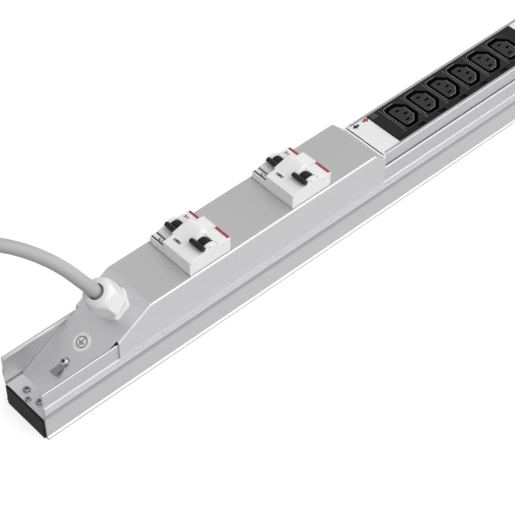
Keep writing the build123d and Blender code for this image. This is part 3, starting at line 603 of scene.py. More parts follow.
# In millimetres: its place along the slope, the distance from its axis to the hexagons' sides, how
# softly they cut the turned surfaces, and the radius up to which those are bores and stay round. Then
# the turns of the body's and the nut's hexagon, and the points round each.
GLAND_ALONG = 93.0
HEXAGON_SIDE = 13.5
CUT_SOFTNESS = 0.06
BORE_LIMIT = 9.5
BODY_TURN = math.radians(30)
NUT_TURN = math.radians(44)
POINTS_ROUND = 288


def slope_axes():
    """Directions up the slope, across it and out of it."""
    up_slope = (math.cos(SLOPE), 0, math.sin(SLOPE))
    out = (-math.sin(SLOPE), 0, math.cos(SLOPE))
    return up_slope, (0, 1, 0), out


def hexagon_cut(turn):
    """The radius of a turned surface that a hexagon cuts: the smaller of the two radii.

    A hexagon's side lies HEXAGON_SIDE / cos(a) from the axis, with a from -30 to 30 degrees on each
    side. The smaller of p and q is taken as -s * log(exp(-p / s) + exp(-q / s)), s the softness."""
    def radius_of(angles, radius):
        if radius <= BORE_LIMIT:
            return np.full(len(angles), radius)
        local = (angles - turn + math.pi / 6) % (math.pi / 3) - math.pi / 6
        side = HEXAGON_SIDE / np.cos(local)
        return -CUT_SOFTNESS * np.logaddexp(-side / CUT_SOFTNESS, -radius / CUT_SOFTNESS)
    return radius_of


def dense(profile, step=0.3):
    """A profile with points added, so that none is further than step from the next."""
    places = np.asarray(profile, float)
    out = [places[:1]]
    for here, after in zip(places, places[1:]):
        pieces = max(1, math.ceil(math.dist(here, after) / step))
        shares = np.arange(1, pieces + 1)[:, None] / pieces
        out.append(here + (after - here) * shares)
    return np.concatenate(out)


def add_gland_part(name, node, profile, turn, material):
    """A part of the gland: its profile of (radius, height) turned about the gland's axis and cut by its
    hexagon."""
    points, faces = polar_surface(hexagon_cut(turn), dense(profile), slope_point(GLAND_ALONG),
                                  *slope_axes(), POINTS_ROUND)
    piece = mesh_piece(name, points, faces, material, "base")
    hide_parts(node)


def add_gland(material):
    """Body and cap nut of the gland. The nut's dome is a quarter of an ellipse."""
    body = [(10.2, 0.0), (15.0, 0.02), (15.55, 0.5), (15.55, 5.9), (14.9, 6.5), (9.0, 6.5), (9.0, 12)]
    add_gland_part("gland_base", "gland_body", body, BODY_TURN, material)
    turns = np.linspace(0, math.pi / 2, 14)
    foot = [(9.4, 8.0), (9.4, 7.5), (14.6, 7.5), (15.6, 8.6)]
    dome = [(15.6 - 6.2 * (1 - math.cos(t)), 19.5 + 13.1 * math.sin(t)) for t in turns]
    mouth = [(8.9, 33.0), (8.2, 33.1), (7.4, 32.9), (6.95, 32.3), (6.95, 26.0)]
    add_gland_part("gland_nut", "gland_cap_nut", foot + dome + mouth, NUT_TURN, material)


# Small parts of the infeed end

# In millimetres: the earth label's middle along the slope and its top over it, the stud along the slope,
# the far lip's inner face and the wall's top, and the slope's side and how far the strip beside it goes.
LABEL_ALONG = 52.5
LABEL_TOP = 0.25
STUD_ALONG = 30.8
LIP_FACE = 25.55
RAIL_TOP = 57.2
SLOPE_HALF = 25.0
SLOPE_EDGE = 26.15

# Each screw of the tongue: its place along and across, its shank's radius and the turn of its recess.
TONGUE_SCREWS = [(8.5, 8.8, 1.9, 0.5), (8.5, -8.8, 1.9, 1.1), (3.1, 0.0, 1.5, 0.2)]


def on_slope(part, along, height=0.0):
    """A part given up the slope, across it and out of it, in the rail's directions."""
    points, faces = part
    up_slope, across, out = (np.array(axis) for axis in slope_axes())
    place = np.array(slope_point(along, height))
    points = np.asarray(points, float)
    return place + points[:, :1] * up_slope + points[:, 1:2] * across + points[:, 2:] * out, faces


def add_earth_sign(material):
    """The earth sign on its round label: a ring, a stem and three bars."""
    ink = 0.06
    ring = pierced_plate(disc(5.3, 64), [disc(4.5, 64)], ink, ink, 0.01, 0.01, 1)
    bars = [rectangle(-0.2, 4.6, -0.36, 0.36, 0.02)]
    bars += [rectangle(along - 0.36, along + 0.36, -half, half, 0.02)
             for along, half in ((-0.3, 3.2), (-1.6, 2.1), (-2.9, 1.0))]
    sign = joined([ring] + [raised(bar, 0, ink, 0.01) for bar in bars])
    piece = mesh_piece("earth_sign", *on_slope(sign, LABEL_ALONG, LABEL_TOP), material, "base",
                       smooth=False)


def add_stud_socket_shade(material):
    """Painted shade: a black hexagon in the stud's head that stands for the depth of its hexagon socket."""
    corner_reach = 1.75
    corners = [(corner_reach * math.cos(a), corner_reach * math.sin(a), 0.1)
               for a in np.radians(range(0, 360, 60))]
    ground = raised(rounded_outline(corners, 2), 2.6, 0.5, 0.05)
    piece = mesh_piece("stud_socket_shade", *on_slope(ground, STUD_ALONG), material, "base", smooth=False)


def add_lip_bead(material):
    """The rounded bead on the inner face of the far wall's lip, where the channel is open. Its near-white
    colour is a painted highlight.

    Its section is half an ellipse: at a turn t from 0 to pi it stands out 0.55 sin t and lies
    0.05 + 1.7 (1 - cos t) under the wall's top."""
    turns = np.linspace(0, math.pi, 17)
    depths = 0.05 + 1.7 * (1 - np.cos(turns))
    section = np.column_stack([LIP_FACE - 0.55 * np.sin(turns), RAIL_TOP - depths])
    count = len(section)
    points = np.concatenate([np.column_stack([np.full(count, x), section]) for x in (0.3, 78.0)])
    faces = [face[::-1] for face in ring_faces(2, count)]
    faces += [tuple(range(count)), tuple(range(2 * count - 1, count - 1, -1))]
    piece = mesh_piece("lip_bead", points, faces, material, "base")


def add_slope_edge(material):
    """The strip that closes the slope to the far wall."""
    strip = raised(rectangle(0.5, 62.0, SLOPE_HALF - 0.8, SLOPE_EDGE, 0.05, 1), -0.3, 0.34, 0.02)
    piece = mesh_piece("slope_edge", *on_slope(strip, 0), material, "base", smooth=False)


def screw_head(x, y, shank, turn):
    """A pan head with a cross recess.

    At a distance r from its axis the head is h * (1 - (r / R)^5)^(1/2) high, R = 1.8 and h = 1.2 times
    the shank's radius. The recess is 0.75 h deep. It comes in as 3t^2 - 2t^3 of two shares: one rises
    from 0 to 1 as the smaller distance across the arms falls from 0.144 R to 0.054 R, the other as the
    larger one falls from 0.62 R to 0.52 R."""
    reach, height = 1.8 * shank, 1.2 * shank
    shares = np.concatenate([[1.0, 1.0], np.sin(np.linspace(math.pi / 2, 0, 34))[1:]])
    angles = np.linspace(0, 2 * math.pi, 96, endpoint=False)
    r, a = np.meshgrid(shares * reach, angles, indexing="ij")
    top = height * np.sqrt(np.clip(1 - (r / reach) ** 5, 0, 1))
    u, v = np.abs(r * np.cos(a - turn)), np.abs(r * np.sin(a - turn))
    width = np.clip(1.6 - np.minimum(u, v) / (0.09 * reach), 0, 1)
    length = np.clip((0.62 - np.maximum(u, v) / reach) / 0.1, 0, 1)
    depth = width ** 2 * (3 - 2 * width) * length ** 2 * (3 - 2 * length)
    z = TONGUE_TOP + top - 0.75 * height * depth
    z[0] = TONGUE_TOP - 0.3
    z[1] = TONGUE_TOP + 0.15 * height
    points = np.stack([x + r * np.cos(a), y + r * np.sin(a), z], -1).reshape(-1, 3)
    faces = ring_faces(len(shares), len(angles))
    faces.append(tuple(range(len(points) - len(angles), len(points))))
    return points, faces


def add_screws(material):
    """The three screws of the tongue."""
    points, faces = joined([screw_head(*screw) for screw in TONGUE_SCREWS])
    piece = mesh_piece("tongue_screw_heads", points, faces, material, "base")
    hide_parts("tongue_screws")


# Cord

# The route in millimetres: out of the gland and down beside the infeed end, the coil on the floor, and
# the tail that climbs over it to the plug.
CABLE_RADIUS = 6.0
COIL_CENTRE = (-113.0, 25.0)
COIL_STEP = 29.0
LEAD_ROUTE = [slope_point(GLAND_ALONG, 2), slope_point(GLAND_ALONG, 40), (61.5, 19, 130.5),
              (39.5, 41, 148.5), (15, 62, 156), (-8, 80, 143), (-27, 91, 114), (-44, 93.5, 78),
              (-64, 93, 46), (-91, 92, 20)]
TAIL_ROUTE = [(-143, 80, 34), (-175, 79, 39), (-203.5, 63, 44), (-214, 33, 49), (-203.5, 2, 54),
              (-176, -14, 58), (-145, -14, 58)]

# Each stage of the coil: the turn where it begins in degrees, its radius and its height. Three layers of
# two turns: inwards, up, outwards, up and inwards.
COIL_STAGES = [(103, 68, 8), (125, 67, 6), (375, 67, 6), (420, 55, 6), (715, 55, 6),
               (755, 55, 18), (1030, 55, 18), (1075, 67, 18), (1345, 67, 18),
               (1390, 67, 30), (1655, 67, 30), (1700, 55, 30), (1885, 55, 30)]


def coil_points():
    """Control points of the coil's turns, one every COIL_STEP degrees or so.

    A spline of order 3 passes a control point at (6 + 2 cos s) / 8 of its distance from the axis, where
    s is the angle between neighbours, so the points stand that much outside the turns."""
    turns, radii, heights = np.array(COIL_STAGES, float).T
    count = int(round((turns[-1] - turns[0]) / COIL_STEP))
    angles = np.linspace(turns[0], turns[-1], count)
    step = math.radians(angles[1] - angles[0])
    radius = np.interp(angles, turns, radii) * 8 / (6 + 2 * math.cos(step))
    height = np.interp(angles, turns, heights)
    x = COIL_CENTRE[0] + radius * np.cos(np.radians(angles))
    y = COIL_CENTRE[1] + radius * np.sin(np.radians(angles))
    return list(zip(x, y, height))


def cord_route():
    """Control points of the whole cord: the lead, the coil's turns, and the tail to the plug."""
    return LEAD_ROUTE + coil_points() + TAIL_ROUTE


def add_cord(material):
    """The cord as one smooth spline through its control points."""
    curve = bpy.data.curves.new("mains_cord", "CURVE")
    curve.dimensions = "3D"
    curve.bevel_depth = CABLE_RADIUS * MM
    curve.bevel_resolution = 8
    curve.resolution_u = 16
    spline = curve.splines.new("NURBS")
    points = cord_route()
    spline.points.add(len(points) - 1)
    for point, place in zip(spline.points, points):
        point.co = (*at(*place), 1.0)
    spline.order_u = 3
    spline.use_endpoint_u = True
    curve.materials.append(material)
    cord = bpy.data.objects.new("mains_cord", curve)
    bpy.context.scene.collection.objects.link(cord)
    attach(cord, "base")
    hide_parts("mains_cable", "cable_tail", "cable_coil")


# Effects that several finishes share

# The Mix node's colour sockets, whose names other sockets of it have too.
MIX_FIRST = 6
MIX_SECOND = 7
MIX_RESULT = 2


def new_effect(name, inputs, outputs):
    """A shader node group with its named sockets, and its input and output nodes."""
    group = bpy.data.node_groups.new(name, "ShaderNodeTree")
    for label, kind, value in inputs:
        socket = group.interface.new_socket(label, in_out="INPUT", socket_type="NodeSocket" + kind)
        socket.default_value = value
    for label, kind in outputs:
        group.interface.new_socket(label, in_out="OUTPUT", socket_type="NodeSocket" + kind)
    return group, group.nodes.new("NodeGroupInput"), group.nodes.new("NodeGroupOutput")


def stretched_noise(group, entry, detail):
    """Noise on the piece's own coordinates, by the group's Scale and Stretch."""
    nodes, links = group.nodes, group.links
    place = nodes.new("ShaderNodeTexCoord")
    mapping = nodes.new("ShaderNodeMapping")
    noise = nodes.new("ShaderNodeTexNoise")
    noise.inputs["Detail"].default_value = detail
    links.new(place.outputs["Object"], mapping.inputs["Vector"])
    links.new(entry.outputs["Stretch"], mapping.inputs["Scale"])
    links.new(mapping.outputs["Vector"], noise.inputs["Vector"])
    links.new(entry.outputs["Scale"], noise.inputs["Scale"])
    return noise.outputs["Fac"]


def math_node(group, operation, *sources):
    """The result of a sum on plain numbers and sockets."""
    node = group.nodes.new("ShaderNodeMath")
    node.operation = operation
    for k, source in enumerate(sources):
        if isinstance(source, float):
            node.inputs[k].default_value = source
        else:
            group.links.new(source, node.inputs[k])
    return node.outputs["Value"]


def scaled(group, colour, share):
    """A colour times a share."""
    tint = group.nodes.new("ShaderNodeVectorMath")
    tint.operation = "SCALE"
    group.links.new(colour, tint.inputs[0])
    group.links.new(share, tint.inputs["Scale"])
    return tint.outputs["Vector"]


def make_grain():
    """Fine even grain: moulded skin, drawn lines or brushing, by its stretch."""
    sockets = [("Scale", "Float", 900.0), ("Stretch", "Vector", (1.0, 1.0, 1.0))]
    group, entry, result = new_effect("grain", sockets, [("Height", "Float")])
    noise = stretched_noise(group, entry, 3.0)
    group.links.new(noise, result.inputs["Height"])
    return group


def make_mottle():
    """Slow change of a colour over the surface, darker and lighter by an amount."""
    sockets = [("Colour", "Color", (0.5, 0.5, 0.5, 1.0)), ("Amount", "Float", 0.1),
               ("Scale", "Float", 30.0), ("Stretch", "Vector", (1.0, 1.0, 1.0))]
    group, entry, result = new_effect("mottle", sockets, [("Colour", "Color")])
    swing = math_node(group, "SUBTRACT", stretched_noise(group, entry, 4.0), 0.5)
    share = math_node(group, "MULTIPLY_ADD", swing, entry.outputs["Amount"], 1.0)
    group.links.new(scaled(group, entry.outputs["Colour"], share), result.inputs["Colour"])
    return group


def make_handling():
    """Roughness with the soft patches that hands and packing leave."""
    sockets = [("Roughness", "Float", 0.4), ("Swing", "Float", 0.1), ("Scale", "Float", 12.0),
               ("Stretch", "Vector", (1.0, 1.0, 1.0))]
    group, entry, result = new_effect("handling", sockets, [("Roughness", "Float")])
    swing = math_node(group, "SUBTRACT", stretched_noise(group, entry, 5.0), 0.5)
    patch = math_node(group, "MULTIPLY_ADD", swing, entry.outputs["Swing"], entry.outputs["Roughness"])
    group.links.new(patch, result.inputs["Roughness"])
    return group


def make_dust():
    """A colour with a little pale dust on what faces up."""
    sockets = [("Colour", "Color", (0.5, 0.5, 0.5, 1.0)), ("Dust", "Color", (0.4, 0.4, 0.39, 1.0)),
               ("Amount", "Float", 0.1), ("Scale", "Float", 160.0),
               ("Stretch", "Vector", (1.0, 1.0, 1.0))]
    group, entry, result = new_effect("dust", sockets, [("Colour", "Color")])
    surface = group.nodes.new("ShaderNodeNewGeometry")
    split = group.nodes.new("ShaderNodeSeparateXYZ")
    group.links.new(surface.outputs["Normal"], split.inputs["Vector"])
    upward = math_node(group, "MULTIPLY", split.outputs["Z"], stretched_noise(group, entry, 6.0))
    upward.node.use_clamp = True
    share = math_node(group, "MULTIPLY", upward, entry.outputs["Amount"])
    blend = group.nodes.new("ShaderNodeMix")
    blend.data_type = "RGBA"
    group.links.new(share, blend.inputs["Factor"])
    group.links.new(entry.outputs["Colour"], blend.inputs[MIX_FIRST])
    group.links.new(entry.outputs["Dust"], blend.inputs[MIX_SECOND])
    group.links.new(blend.outputs[MIX_RESULT], result.inputs["Colour"])
    return group


def make_painted_shade_band():
    """Painted shade: a colour darkened between two heights on the outer sides, where shade falls in a
    hollow or between ribs.

    The share rises from 0 to 1 within Soft of Low and falls within Soft of High, and counts only where
    the distance from the middle plane is over Beyond."""
    sockets = [("Colour", "Color", (0.5, 0.5, 0.5, 1.0)), ("Low", "Float", 0.0),
               ("High", "Float", 0.01), ("Soft", "Float", 0.0005), ("Beyond", "Float", 0.0),
               ("Shade", "Float", 0.2)]
    group, entry, result = new_effect("band", sockets, [("Colour", "Color")])
    nodes, links = group.nodes, group.links

    def rise(value, level):
        share = math_node(group, "DIVIDE", math_node(group, "SUBTRACT", value, level),
                          entry.outputs["Soft"])
        clamp = nodes.new("ShaderNodeClamp")
        links.new(math_node(group, "MULTIPLY_ADD", share, 0.5, 0.5), clamp.inputs["Value"])
        return clamp.outputs["Result"]

    place = nodes.new("ShaderNodeTexCoord")
    split = nodes.new("ShaderNodeSeparateXYZ")
    links.new(place.outputs["Object"], split.inputs["Vector"])
    above = rise(split.outputs["Z"], entry.outputs["Low"])
    below = math_node(group, "SUBTRACT", 1.0, rise(split.outputs["Z"], entry.outputs["High"]))
    from_middle = math_node(group, "ABSOLUTE", split.outputs["Y"])
    outside = math_node(group, "GREATER_THAN", from_middle, entry.outputs["Beyond"])
    share = math_node(group, "MULTIPLY", math_node(group, "MULTIPLY", above, below), outside)
    shade = math_node(group, "MULTIPLY", share, entry.outputs["Shade"])
    kept = math_node(group, "SUBTRACT", 1.0, shade)
    links.new(scaled(group, entry.outputs["Colour"], kept), result.inputs["Colour"])
    return group


EVEN = (1.0, 1.0, 1.0)
ALONG_RAIL = (0.02, 1.0, 1.0)
EFFECTS = {"grain": make_grain(), "mottle": make_mottle(), "handling": make_handling(),
           "dust": make_dust(), "band": make_painted_shade_band()}


# Finishes

class Finish:
    """A Principled material under construction: plain values on its shader, effects feeding the rest."""

    def __init__(self, name, metallic=0.0, gloss=0.5):
        self.material = bpy.data.materials.new(name)
        self.material.use_nodes = True
        self.nodes = self.material.node_tree.nodes
        self.links = self.material.node_tree.links
        self.shader = self.nodes["Principled BSDF"]
        self.shader.inputs["Metallic"].default_value = metallic
        self.shader.inputs["Specular IOR Level"].default_value = gloss

    def effect(self, name, **values):
        """One of the shared effects with this finish's values."""
        node = self.nodes.new("ShaderNodeGroup")
        node.node_tree = EFFECTS[name]
        for label, value in values.items():
            node.inputs[label.capitalize()].default_value = value
        return node

    def colour(self, colour, amount, scale, stretch=EVEN, dust=0.0):
        """Base colour with its slow change, and dust where there is any."""
        mottle = self.effect("mottle", colour=(*colour, 1.0), amount=amount, scale=scale, stretch=stretch)
        out = mottle.outputs["Colour"]
        if dust:
            layer = self.effect("dust", amount=dust)
            self.links.new(out, layer.inputs["Colour"])
            out = layer.outputs["Colour"]
        self.links.new(out, self.shader.inputs["Base Color"])
        return self

    def band(self, low, high, soft, beyond, shade):
        """Painted shade: darker between two heights in millimetres, on what lies beyond a distance from the
        middle.
        """
        base = self.shader.inputs["Base Color"]
        layer = self.effect("band", low=low * MM, high=high * MM, soft=soft * MM, beyond=beyond * MM,
                            shade=shade)
        source = base.links[0].from_socket
        self.links.new(source, layer.inputs["Colour"])
        self.links.new(layer.outputs["Colour"], base)
        return self

    def roughness(self, roughness, swing, scale, stretch=EVEN):
        """Roughness with its patches."""
        patches = self.effect("handling", roughness=roughness, swing=swing, scale=scale, stretch=stretch)
        self.links.new(patches.outputs["Roughness"], self.shader.inputs["Roughness"])
        return self

    def skin(self, scale, depth, stretch=EVEN, soft_edge=0.0):
        """Fine relief of a depth in millimetres, and edges that the light sees as rounded."""
        grain = self.effect("grain", scale=scale, stretch=stretch)
        bump = self.nodes.new("ShaderNodeBump")
        bump.inputs["Distance"].default_value = depth * MM
        self.links.new(grain.outputs["Height"], bump.inputs["Height"])
        if soft_edge:
            edge = self.nodes.new("ShaderNodeBevel")
            edge.samples = 8
            edge.inputs["Radius"].default_value = soft_edge * MM
            self.links.new(edge.outputs["Normal"], bump.inputs["Normal"])
        self.links.new(bump.outputs["Normal"], self.shader.inputs["Normal"])
        return self.material


# The side of the rail in millimetres: the hollow under its ledge and its ribbed band, from their lower to
# their upper edge, where the rail's colour gets painted shade, and a distance from the middle plane that
# only the outer sides are beyond.
HOLLOW = (25.2, 33.2)
RIBBED_BAND = (33.4, 40.0)
OUTER_SIDE = 26.8


def extruded(name):
    """A finish under construction: satin anodised, with the fine lines of the die along the rail."""
    finish = Finish(name, metallic=1.0)
    finish.colour((0.575, 0.575, 0.585), 0.06, 260.0, ALONG_RAIL)
    return finish.roughness(0.42, 0.10, 40.0, ALONG_RAIL)


def anodised():
    """The modules' anodised extrusion."""
    return extruded("anodised").skin(2600.0, 0.004, ALONG_RAIL, soft_edge=0.12)


def rail_anodised_painted_shade():
    """The rail's anodising with painted shade: darker in the hollow under the ledge and between the ribs.
    """
    finish = extruded("rail_anodised_painted_shade")
    finish.band(*HOLLOW, 1.4, OUTER_SIDE, 0.29).band(*RIBBED_BAND, 0.4, OUTER_SIDE, 0.28)
    return finish.skin(2600.0, 0.004, ALONG_RAIL, soft_edge=0.12)


def cover_sheet():
    """Anodised sheet: an even, slightly sparkling grain."""
    finish = Finish("cover_sheet", metallic=1.0)
    finish.colour((0.64, 0.64, 0.65), 0.06, 500.0).roughness(0.45, 0.08, 25.0)
    return finish.skin(3200.0, 0.025, soft_edge=0.4)


def black_plastic():
    """Matt black moulding with a spark-eroded skin."""
    finish = Finish("black_plastic", gloss=0.1)
    finish.colour((0.009, 0.009, 0.010), 0.3, 90.0, dust=0.03).roughness(0.5, 0.12, 30.0)
    return finish.skin(2400.0, 0.05, soft_edge=0.3)


def toggle_black():
    """Glossier black of the toggles."""
    finish = Finish("toggle_black", gloss=0.3)
    finish.colour((0.008, 0.008, 0.009), 0.2, 120.0).roughness(0.36, 0.08, 60.0)
    return finish.skin(2600.0, 0.015)


def outlet_black(name, grey):
    """Black moulding of the outlet strip: darkest on the insert, as painted shade in its sockets; greyer on
    frames and cores; light grey on the rims, as painted highlights.
    """
    finish = Finish(name, gloss=0.3)
    finish.colour((grey, grey, 1.04 * grey), 0.25, 150.0).roughness(0.36, 0.10, 45.0)
    return finish.skin(2200.0, 0.03)


def white_plastic():
    """White moulded end piece and label plate."""
    finish = Finish("white_plastic")
    finish.colour((0.88, 0.88, 0.88), 0.05, 60.0).roughness(0.42, 0.08, 30.0)
    return finish.skin(1800.0, 0.02, soft_edge=0.3)


def breaker_case():
    """Light grey-white device case with a fine satin skin."""
    finish = Finish("breaker_case")
    finish.colour((0.90, 0.90, 0.90), 0.03, 70.0).roughness(0.38, 0.08, 50.0)
    return finish.skin(2600.0, 0.02)


def gland_plastic():
    """Pale polyamide of the gland, smooth and a little glossy."""
    finish = Finish("gland_plastic")
    finish.colour((0.86, 0.86, 0.865), 0.03, 90.0).roughness(0.28, 0.08, 60.0)
    return finish.skin(900.0, 0.02)


def seal_rubber():
    """Black sealing rubber."""
    finish = Finish("seal_rubber")
    finish.colour((0.03, 0.03, 0.03), 0.3, 200.0).roughness(0.7, 0.1, 80.0)
    return finish.skin(1500.0, 0.04)


def cable_jacket():
    """Grey extruded jacket, slightly uneven along its length."""
    finish = Finish("cable_jacket")
    finish.colour((0.46, 0.46, 0.465), 0.08, 45.0).roughness(0.42, 0.10, 30.0)
    return finish.skin(700.0, 0.03)


def plug_blue():
    """Blue polyamide of the industrial plug."""
    finish = Finish("plug_blue")
    finish.colour((0.03, 0.10, 0.36), 0.12, 60.0, dust=0.03).roughness(0.38, 0.10, 30.0)
    return finish.skin(1800.0, 0.03, soft_edge=0.4)


def plated_steel():
    """Bright zinc-plated steel with fine brushing."""
    finish = Finish("plated_steel", metallic=1.0)
    finish.colour((0.60, 0.60, 0.60), 0.12, 300.0).roughness(0.30, 0.14, 200.0)
    return finish.skin(3000.0, 0.01, (0.2, 1.0, 1.0), soft_edge=0.2)


def bead_painted_highlight():
    """Near-white, half metallic colour of the lip's bead: a painted highlight along it."""
    finish = Finish("bead_painted_highlight", metallic=0.4)
    finish.colour((0.92, 0.92, 0.93), 0.04, 260.0, ALONG_RAIL).roughness(0.34, 0.08, 40.0, ALONG_RAIL)
    return finish.skin(2600.0, 0.003, ALONG_RAIL)


def dull_steel():
    """Darker steel of the earth blade."""
    finish = Finish("dull_steel", metallic=1.0)
    finish.colour((0.33, 0.33, 0.33), 0.15, 300.0).roughness(0.34, 0.12, 200.0)
    return finish.skin(3000.0, 0.01, soft_edge=0.2)


def brass():
    """Machined brass of contacts and pins."""
    finish = Finish("brass", metallic=1.0)
    finish.colour((0.70, 0.52, 0.24), 0.15, 200.0).roughness(0.28, 0.12, 150.0)
    return finish.skin(2600.0, 0.01, (0.2, 1.0, 1.0), soft_edge=0.2)


def copper():
    """Drawn copper of the conductor bars."""
    finish = Finish("copper", metallic=1.0)
    finish.colour((0.75, 0.42, 0.28), 0.15, 120.0, ALONG_RAIL).roughness(0.32, 0.12, 90.0, ALONG_RAIL)
    return finish.skin(2600.0, 0.01, ALONG_RAIL, soft_edge=0.2)


def printed(name, colour, roughness=0.45):
    """Ink or a printed film: even, with a trace of the surface under it."""
    finish = Finish(name)
    finish.colour(colour, 0.08, 400.0).roughness(roughness, 0.06, 120.0)
    return finish.skin(2600.0, 0.008)


def make_materials():
    """The materials by slot name, and those of single pieces and of the printed marks."""
    return {
        "anodised": anodised(),
        "rail_anodised_painted_shade": rail_anodised_painted_shade(),
        "cover_sheet": cover_sheet(),
        "dull_steel": dull_steel(),
        "bead_painted_highlight": bead_painted_highlight(),
        "black_plastic": black_plastic(),
        "toggle_black": toggle_black(),
        # The insert's near-black shows in the sockets and slots: painted shade in the recesses.
        "black_outlets": outlet_black("black_outlets", 0.004),
        "outlet_frame": outlet_black("outlet_frame", 0.012),
        "blank_black": outlet_black("blank_black", 0.006),
        # Light grey of the outlets' rims: painted highlights.
        "rim_painted_highlight": outlet_black("rim_painted_highlight", 0.30),
        "outlet_core": outlet_black("outlet_core", 0.026),
        "white_plastic": white_plastic(),
        "breaker_case": breaker_case(),
        "gland_plastic": gland_plastic(),
        "seal_rubber": seal_rubber(),
        "cable_jacket": cable_jacket(),
        "plug_blue": plug_blue(),
        "plated_steel": plated_steel(),
        "brass": brass(),
        "copper": copper(),
        "label_grey": printed("label_grey", (0.05, 0.05, 0.055)),
        "label_earth": printed("label_earth", (0.93, 0.93, 0.93)),
        "red_mark": printed("red_mark", (0.42, 0.055, 0.05)),
        "black_mark": printed("black_mark", (0.018, 0.018, 0.018)),
        "grey_mark": printed("grey_mark", (0.42, 0.42, 0.43)),
    }


def dress_frame(materials):
    """Give every node of the frame the material of its slot, and the rail and the earth blade their own."""
    slots = {part["node"]: part["material_slot"] for part in frame["record"]["subparts"]}
    slots.update(rail_profile="rail_anodised_painted_shade", earth_blade="dull_steel")
    for name, node in frame["nodes"].items():
        node.data.materials.clear()
        node.data.materials.append(materials[slots[name]])


# Stage and light

# Strengths: the floor as the camera and as metal see it, and the sky as light and as metal sees it. The
# last is what the sky in metal changes by from straight above to the rail's far end.
FLOOR_SEEN = 0.68
FLOOR_SEEN_IN_METAL = 0.40
SKY_LIGHT = 0.38
SKY_SEEN_IN_METAL = 0.90
SKY_DROP_ALONG_RAIL = -0.22


def ray_share(nodes, links, labels):
    """1 for the kinds of ray named, and 0 for the others."""
    path = nodes.new("ShaderNodeLightPath")
    total = path.outputs[labels[0]]
    for label in labels[1:]:
        either = nodes.new("ShaderNodeMath")
        either.operation = "MAXIMUM"
        links.new(total, either.inputs[0])
        links.new(path.outputs[label], either.inputs[1])
        total = either.outputs["Value"]
    return total


def plain_glow(nodes, strength):
    """White emission of a strength."""
    glow = nodes.new("ShaderNodeEmission")
    glow.inputs["Strength"].default_value = strength
    return glow.outputs["Emission"]


def floor_paper():
    """Pale paper that the camera sees as white, with what is left of the object's shadow on it."""
    material = bpy.data.materials.new("floor_paper")
    material.use_nodes = True
    nodes, links = material.node_tree.nodes, material.node_tree.links
    shader = nodes["Principled BSDF"]
    shader.inputs["Base Color"].default_value = (0.55, 0.55, 0.55, 1.0)
    shader.inputs["Roughness"].default_value = 1.0
    shader.inputs["Specular IOR Level"].default_value = 0.0
    mirrored = nodes.new("ShaderNodeMixShader")
    seen = nodes.new("ShaderNodeMixShader")
    both = nodes.new("ShaderNodeAddShader")
    links.new(ray_share(nodes, links, ["Is Glossy Ray"]), mirrored.inputs["Fac"])
    links.new(plain_glow(nodes, 0.0), mirrored.inputs[1])
    links.new(plain_glow(nodes, FLOOR_SEEN_IN_METAL), mirrored.inputs[2])
    links.new(ray_share(nodes, links, ["Is Camera Ray", "Is Transmission Ray"]), seen.inputs["Fac"])
    links.new(mirrored.outputs["Shader"], seen.inputs[1])
    links.new(plain_glow(nodes, FLOOR_SEEN), seen.inputs[2])
    links.new(shader.outputs["BSDF"], both.inputs[0])
    links.new(seen.outputs["Shader"], both.inputs[1])
    links.new(both.outputs["Shader"], nodes["Material Output"].inputs["Surface"])
    return material


def add_stage():
    """A plain pale floor under the object."""
    mesh = bpy.data.meshes.new("floor")
    half = 8.0
    mesh.from_pydata([(-half, -half, 0), (half, -half, 0), (half, half, 0), (-half, half, 0)], [],
                     [(0, 1, 2, 3)])
    floor = bpy.data.objects.new("floor", mesh)
    bpy.context.scene.collection.objects.link(floor)
    mesh.materials.append(floor_paper())


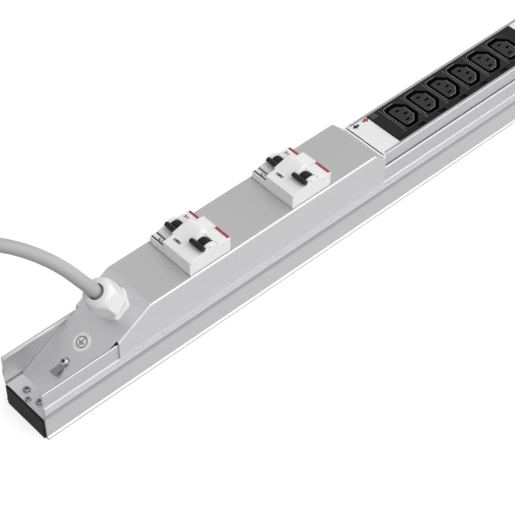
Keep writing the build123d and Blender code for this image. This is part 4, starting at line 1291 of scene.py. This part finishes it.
def add_surround():
    """The surround: white where the camera sees it, softer as light, and in reflections falling off
    towards the rail's far end."""
    world = bpy.data.worlds.new("surround")
    bpy.context.scene.world = world
    world.use_nodes = True
    nodes, links = world.node_tree.nodes, world.node_tree.links
    light = nodes["Background"]
    light.inputs["Color"].default_value = (1.0, 1.0, 1.0, 1.0)
    light.inputs["Strength"].default_value = SKY_LIGHT
    mirrored = nodes.new("ShaderNodeBackground")
    direction = nodes.new("ShaderNodeTexCoord")
    split = nodes.new("ShaderNodeSeparateXYZ")
    level = nodes.new("ShaderNodeMath")
    level.operation = "MULTIPLY_ADD"
    level.inputs[1].default_value = SKY_DROP_ALONG_RAIL
    level.inputs[2].default_value = SKY_SEEN_IN_METAL
    links.new(direction.outputs["Generated"], split.inputs["Vector"])
    links.new(split.outputs["X"], level.inputs[0])
    links.new(level.outputs["Value"], mirrored.inputs["Strength"])
    white = nodes.new("ShaderNodeBackground")
    reflection = nodes.new("ShaderNodeMixShader")
    view = nodes.new("ShaderNodeMixShader")
    links.new(ray_share(nodes, links, ["Is Glossy Ray"]), reflection.inputs["Fac"])
    links.new(light.outputs["Background"], reflection.inputs[1])
    links.new(mirrored.outputs["Background"], reflection.inputs[2])
    links.new(ray_share(nodes, links, ["Is Camera Ray", "Is Transmission Ray"]), view.inputs["Fac"])
    links.new(reflection.outputs["Shader"], view.inputs[1])
    links.new(white.outputs["Background"], view.inputs[2])
    links.new(view.outputs["Shader"], nodes["World Output"].inputs["Surface"])


def add_area(name, direction, distance, size, level):
    """A square soft light in a direction from the object. At level 1 it lights a white face as much as a
    white surround would."""
    data = bpy.data.lights.new(name, "AREA")
    data.size = size
    data.energy = level * (math.pi * distance) ** 2
    light = bpy.data.objects.new(name, data)
    towards = Vector(direction).normalized()
    light.rotation_euler = towards.to_track_quat("Z", "Y").to_euler()
    light.location = towards * distance
    bpy.context.scene.collection.objects.link(light)


def add_light():
    """Soft studio light: a large screen on the near side and above, and two small ones that draw the
    edges."""
    add_surround()
    add_area("screen", (0.16, -0.62, 0.76), 3.0, 4.6, 1.1)
    add_area("near_edges", (0.46, -0.73, 0.50), 3.2, 0.6, 0.03)
    add_area("far_edges", (0.93, -0.08, 0.34), 3.2, 0.8, 0.12)


def main():
    """Build the scene."""
    scene = bpy.context.scene
    scene.view_settings.view_transform = "Standard"
    add_camera()
    materials = make_materials()
    add_cord(materials["cable_jacket"])
    for number, start in DEVICE_STARTS.items():
        add_wide_device(number, start, materials["breaker_case"])
        add_narrow_device(number, start, materials["breaker_case"])
        add_raised_cover(number, start, materials["breaker_case"])
        for size in TOGGLES:
            add_toggle(number, size, start, materials["toggle_black"])
        add_device_marks(number, start, materials)
    for number, start in MODULE_STARTS.items():
        add_outlets(number, start, materials)
        add_module_marks(number, start, materials)
    add_gland(materials["gland_plastic"])
    add_earth_sign(materials["black_mark"])
    add_stud_socket_shade(materials["black_mark"])
    add_lip_bead(materials["bead_painted_highlight"])
    add_slope_edge(materials["cover_sheet"])
    add_screws(materials["dull_steel"])
    dress_frame(materials)
    add_stage()
    add_light()


main()
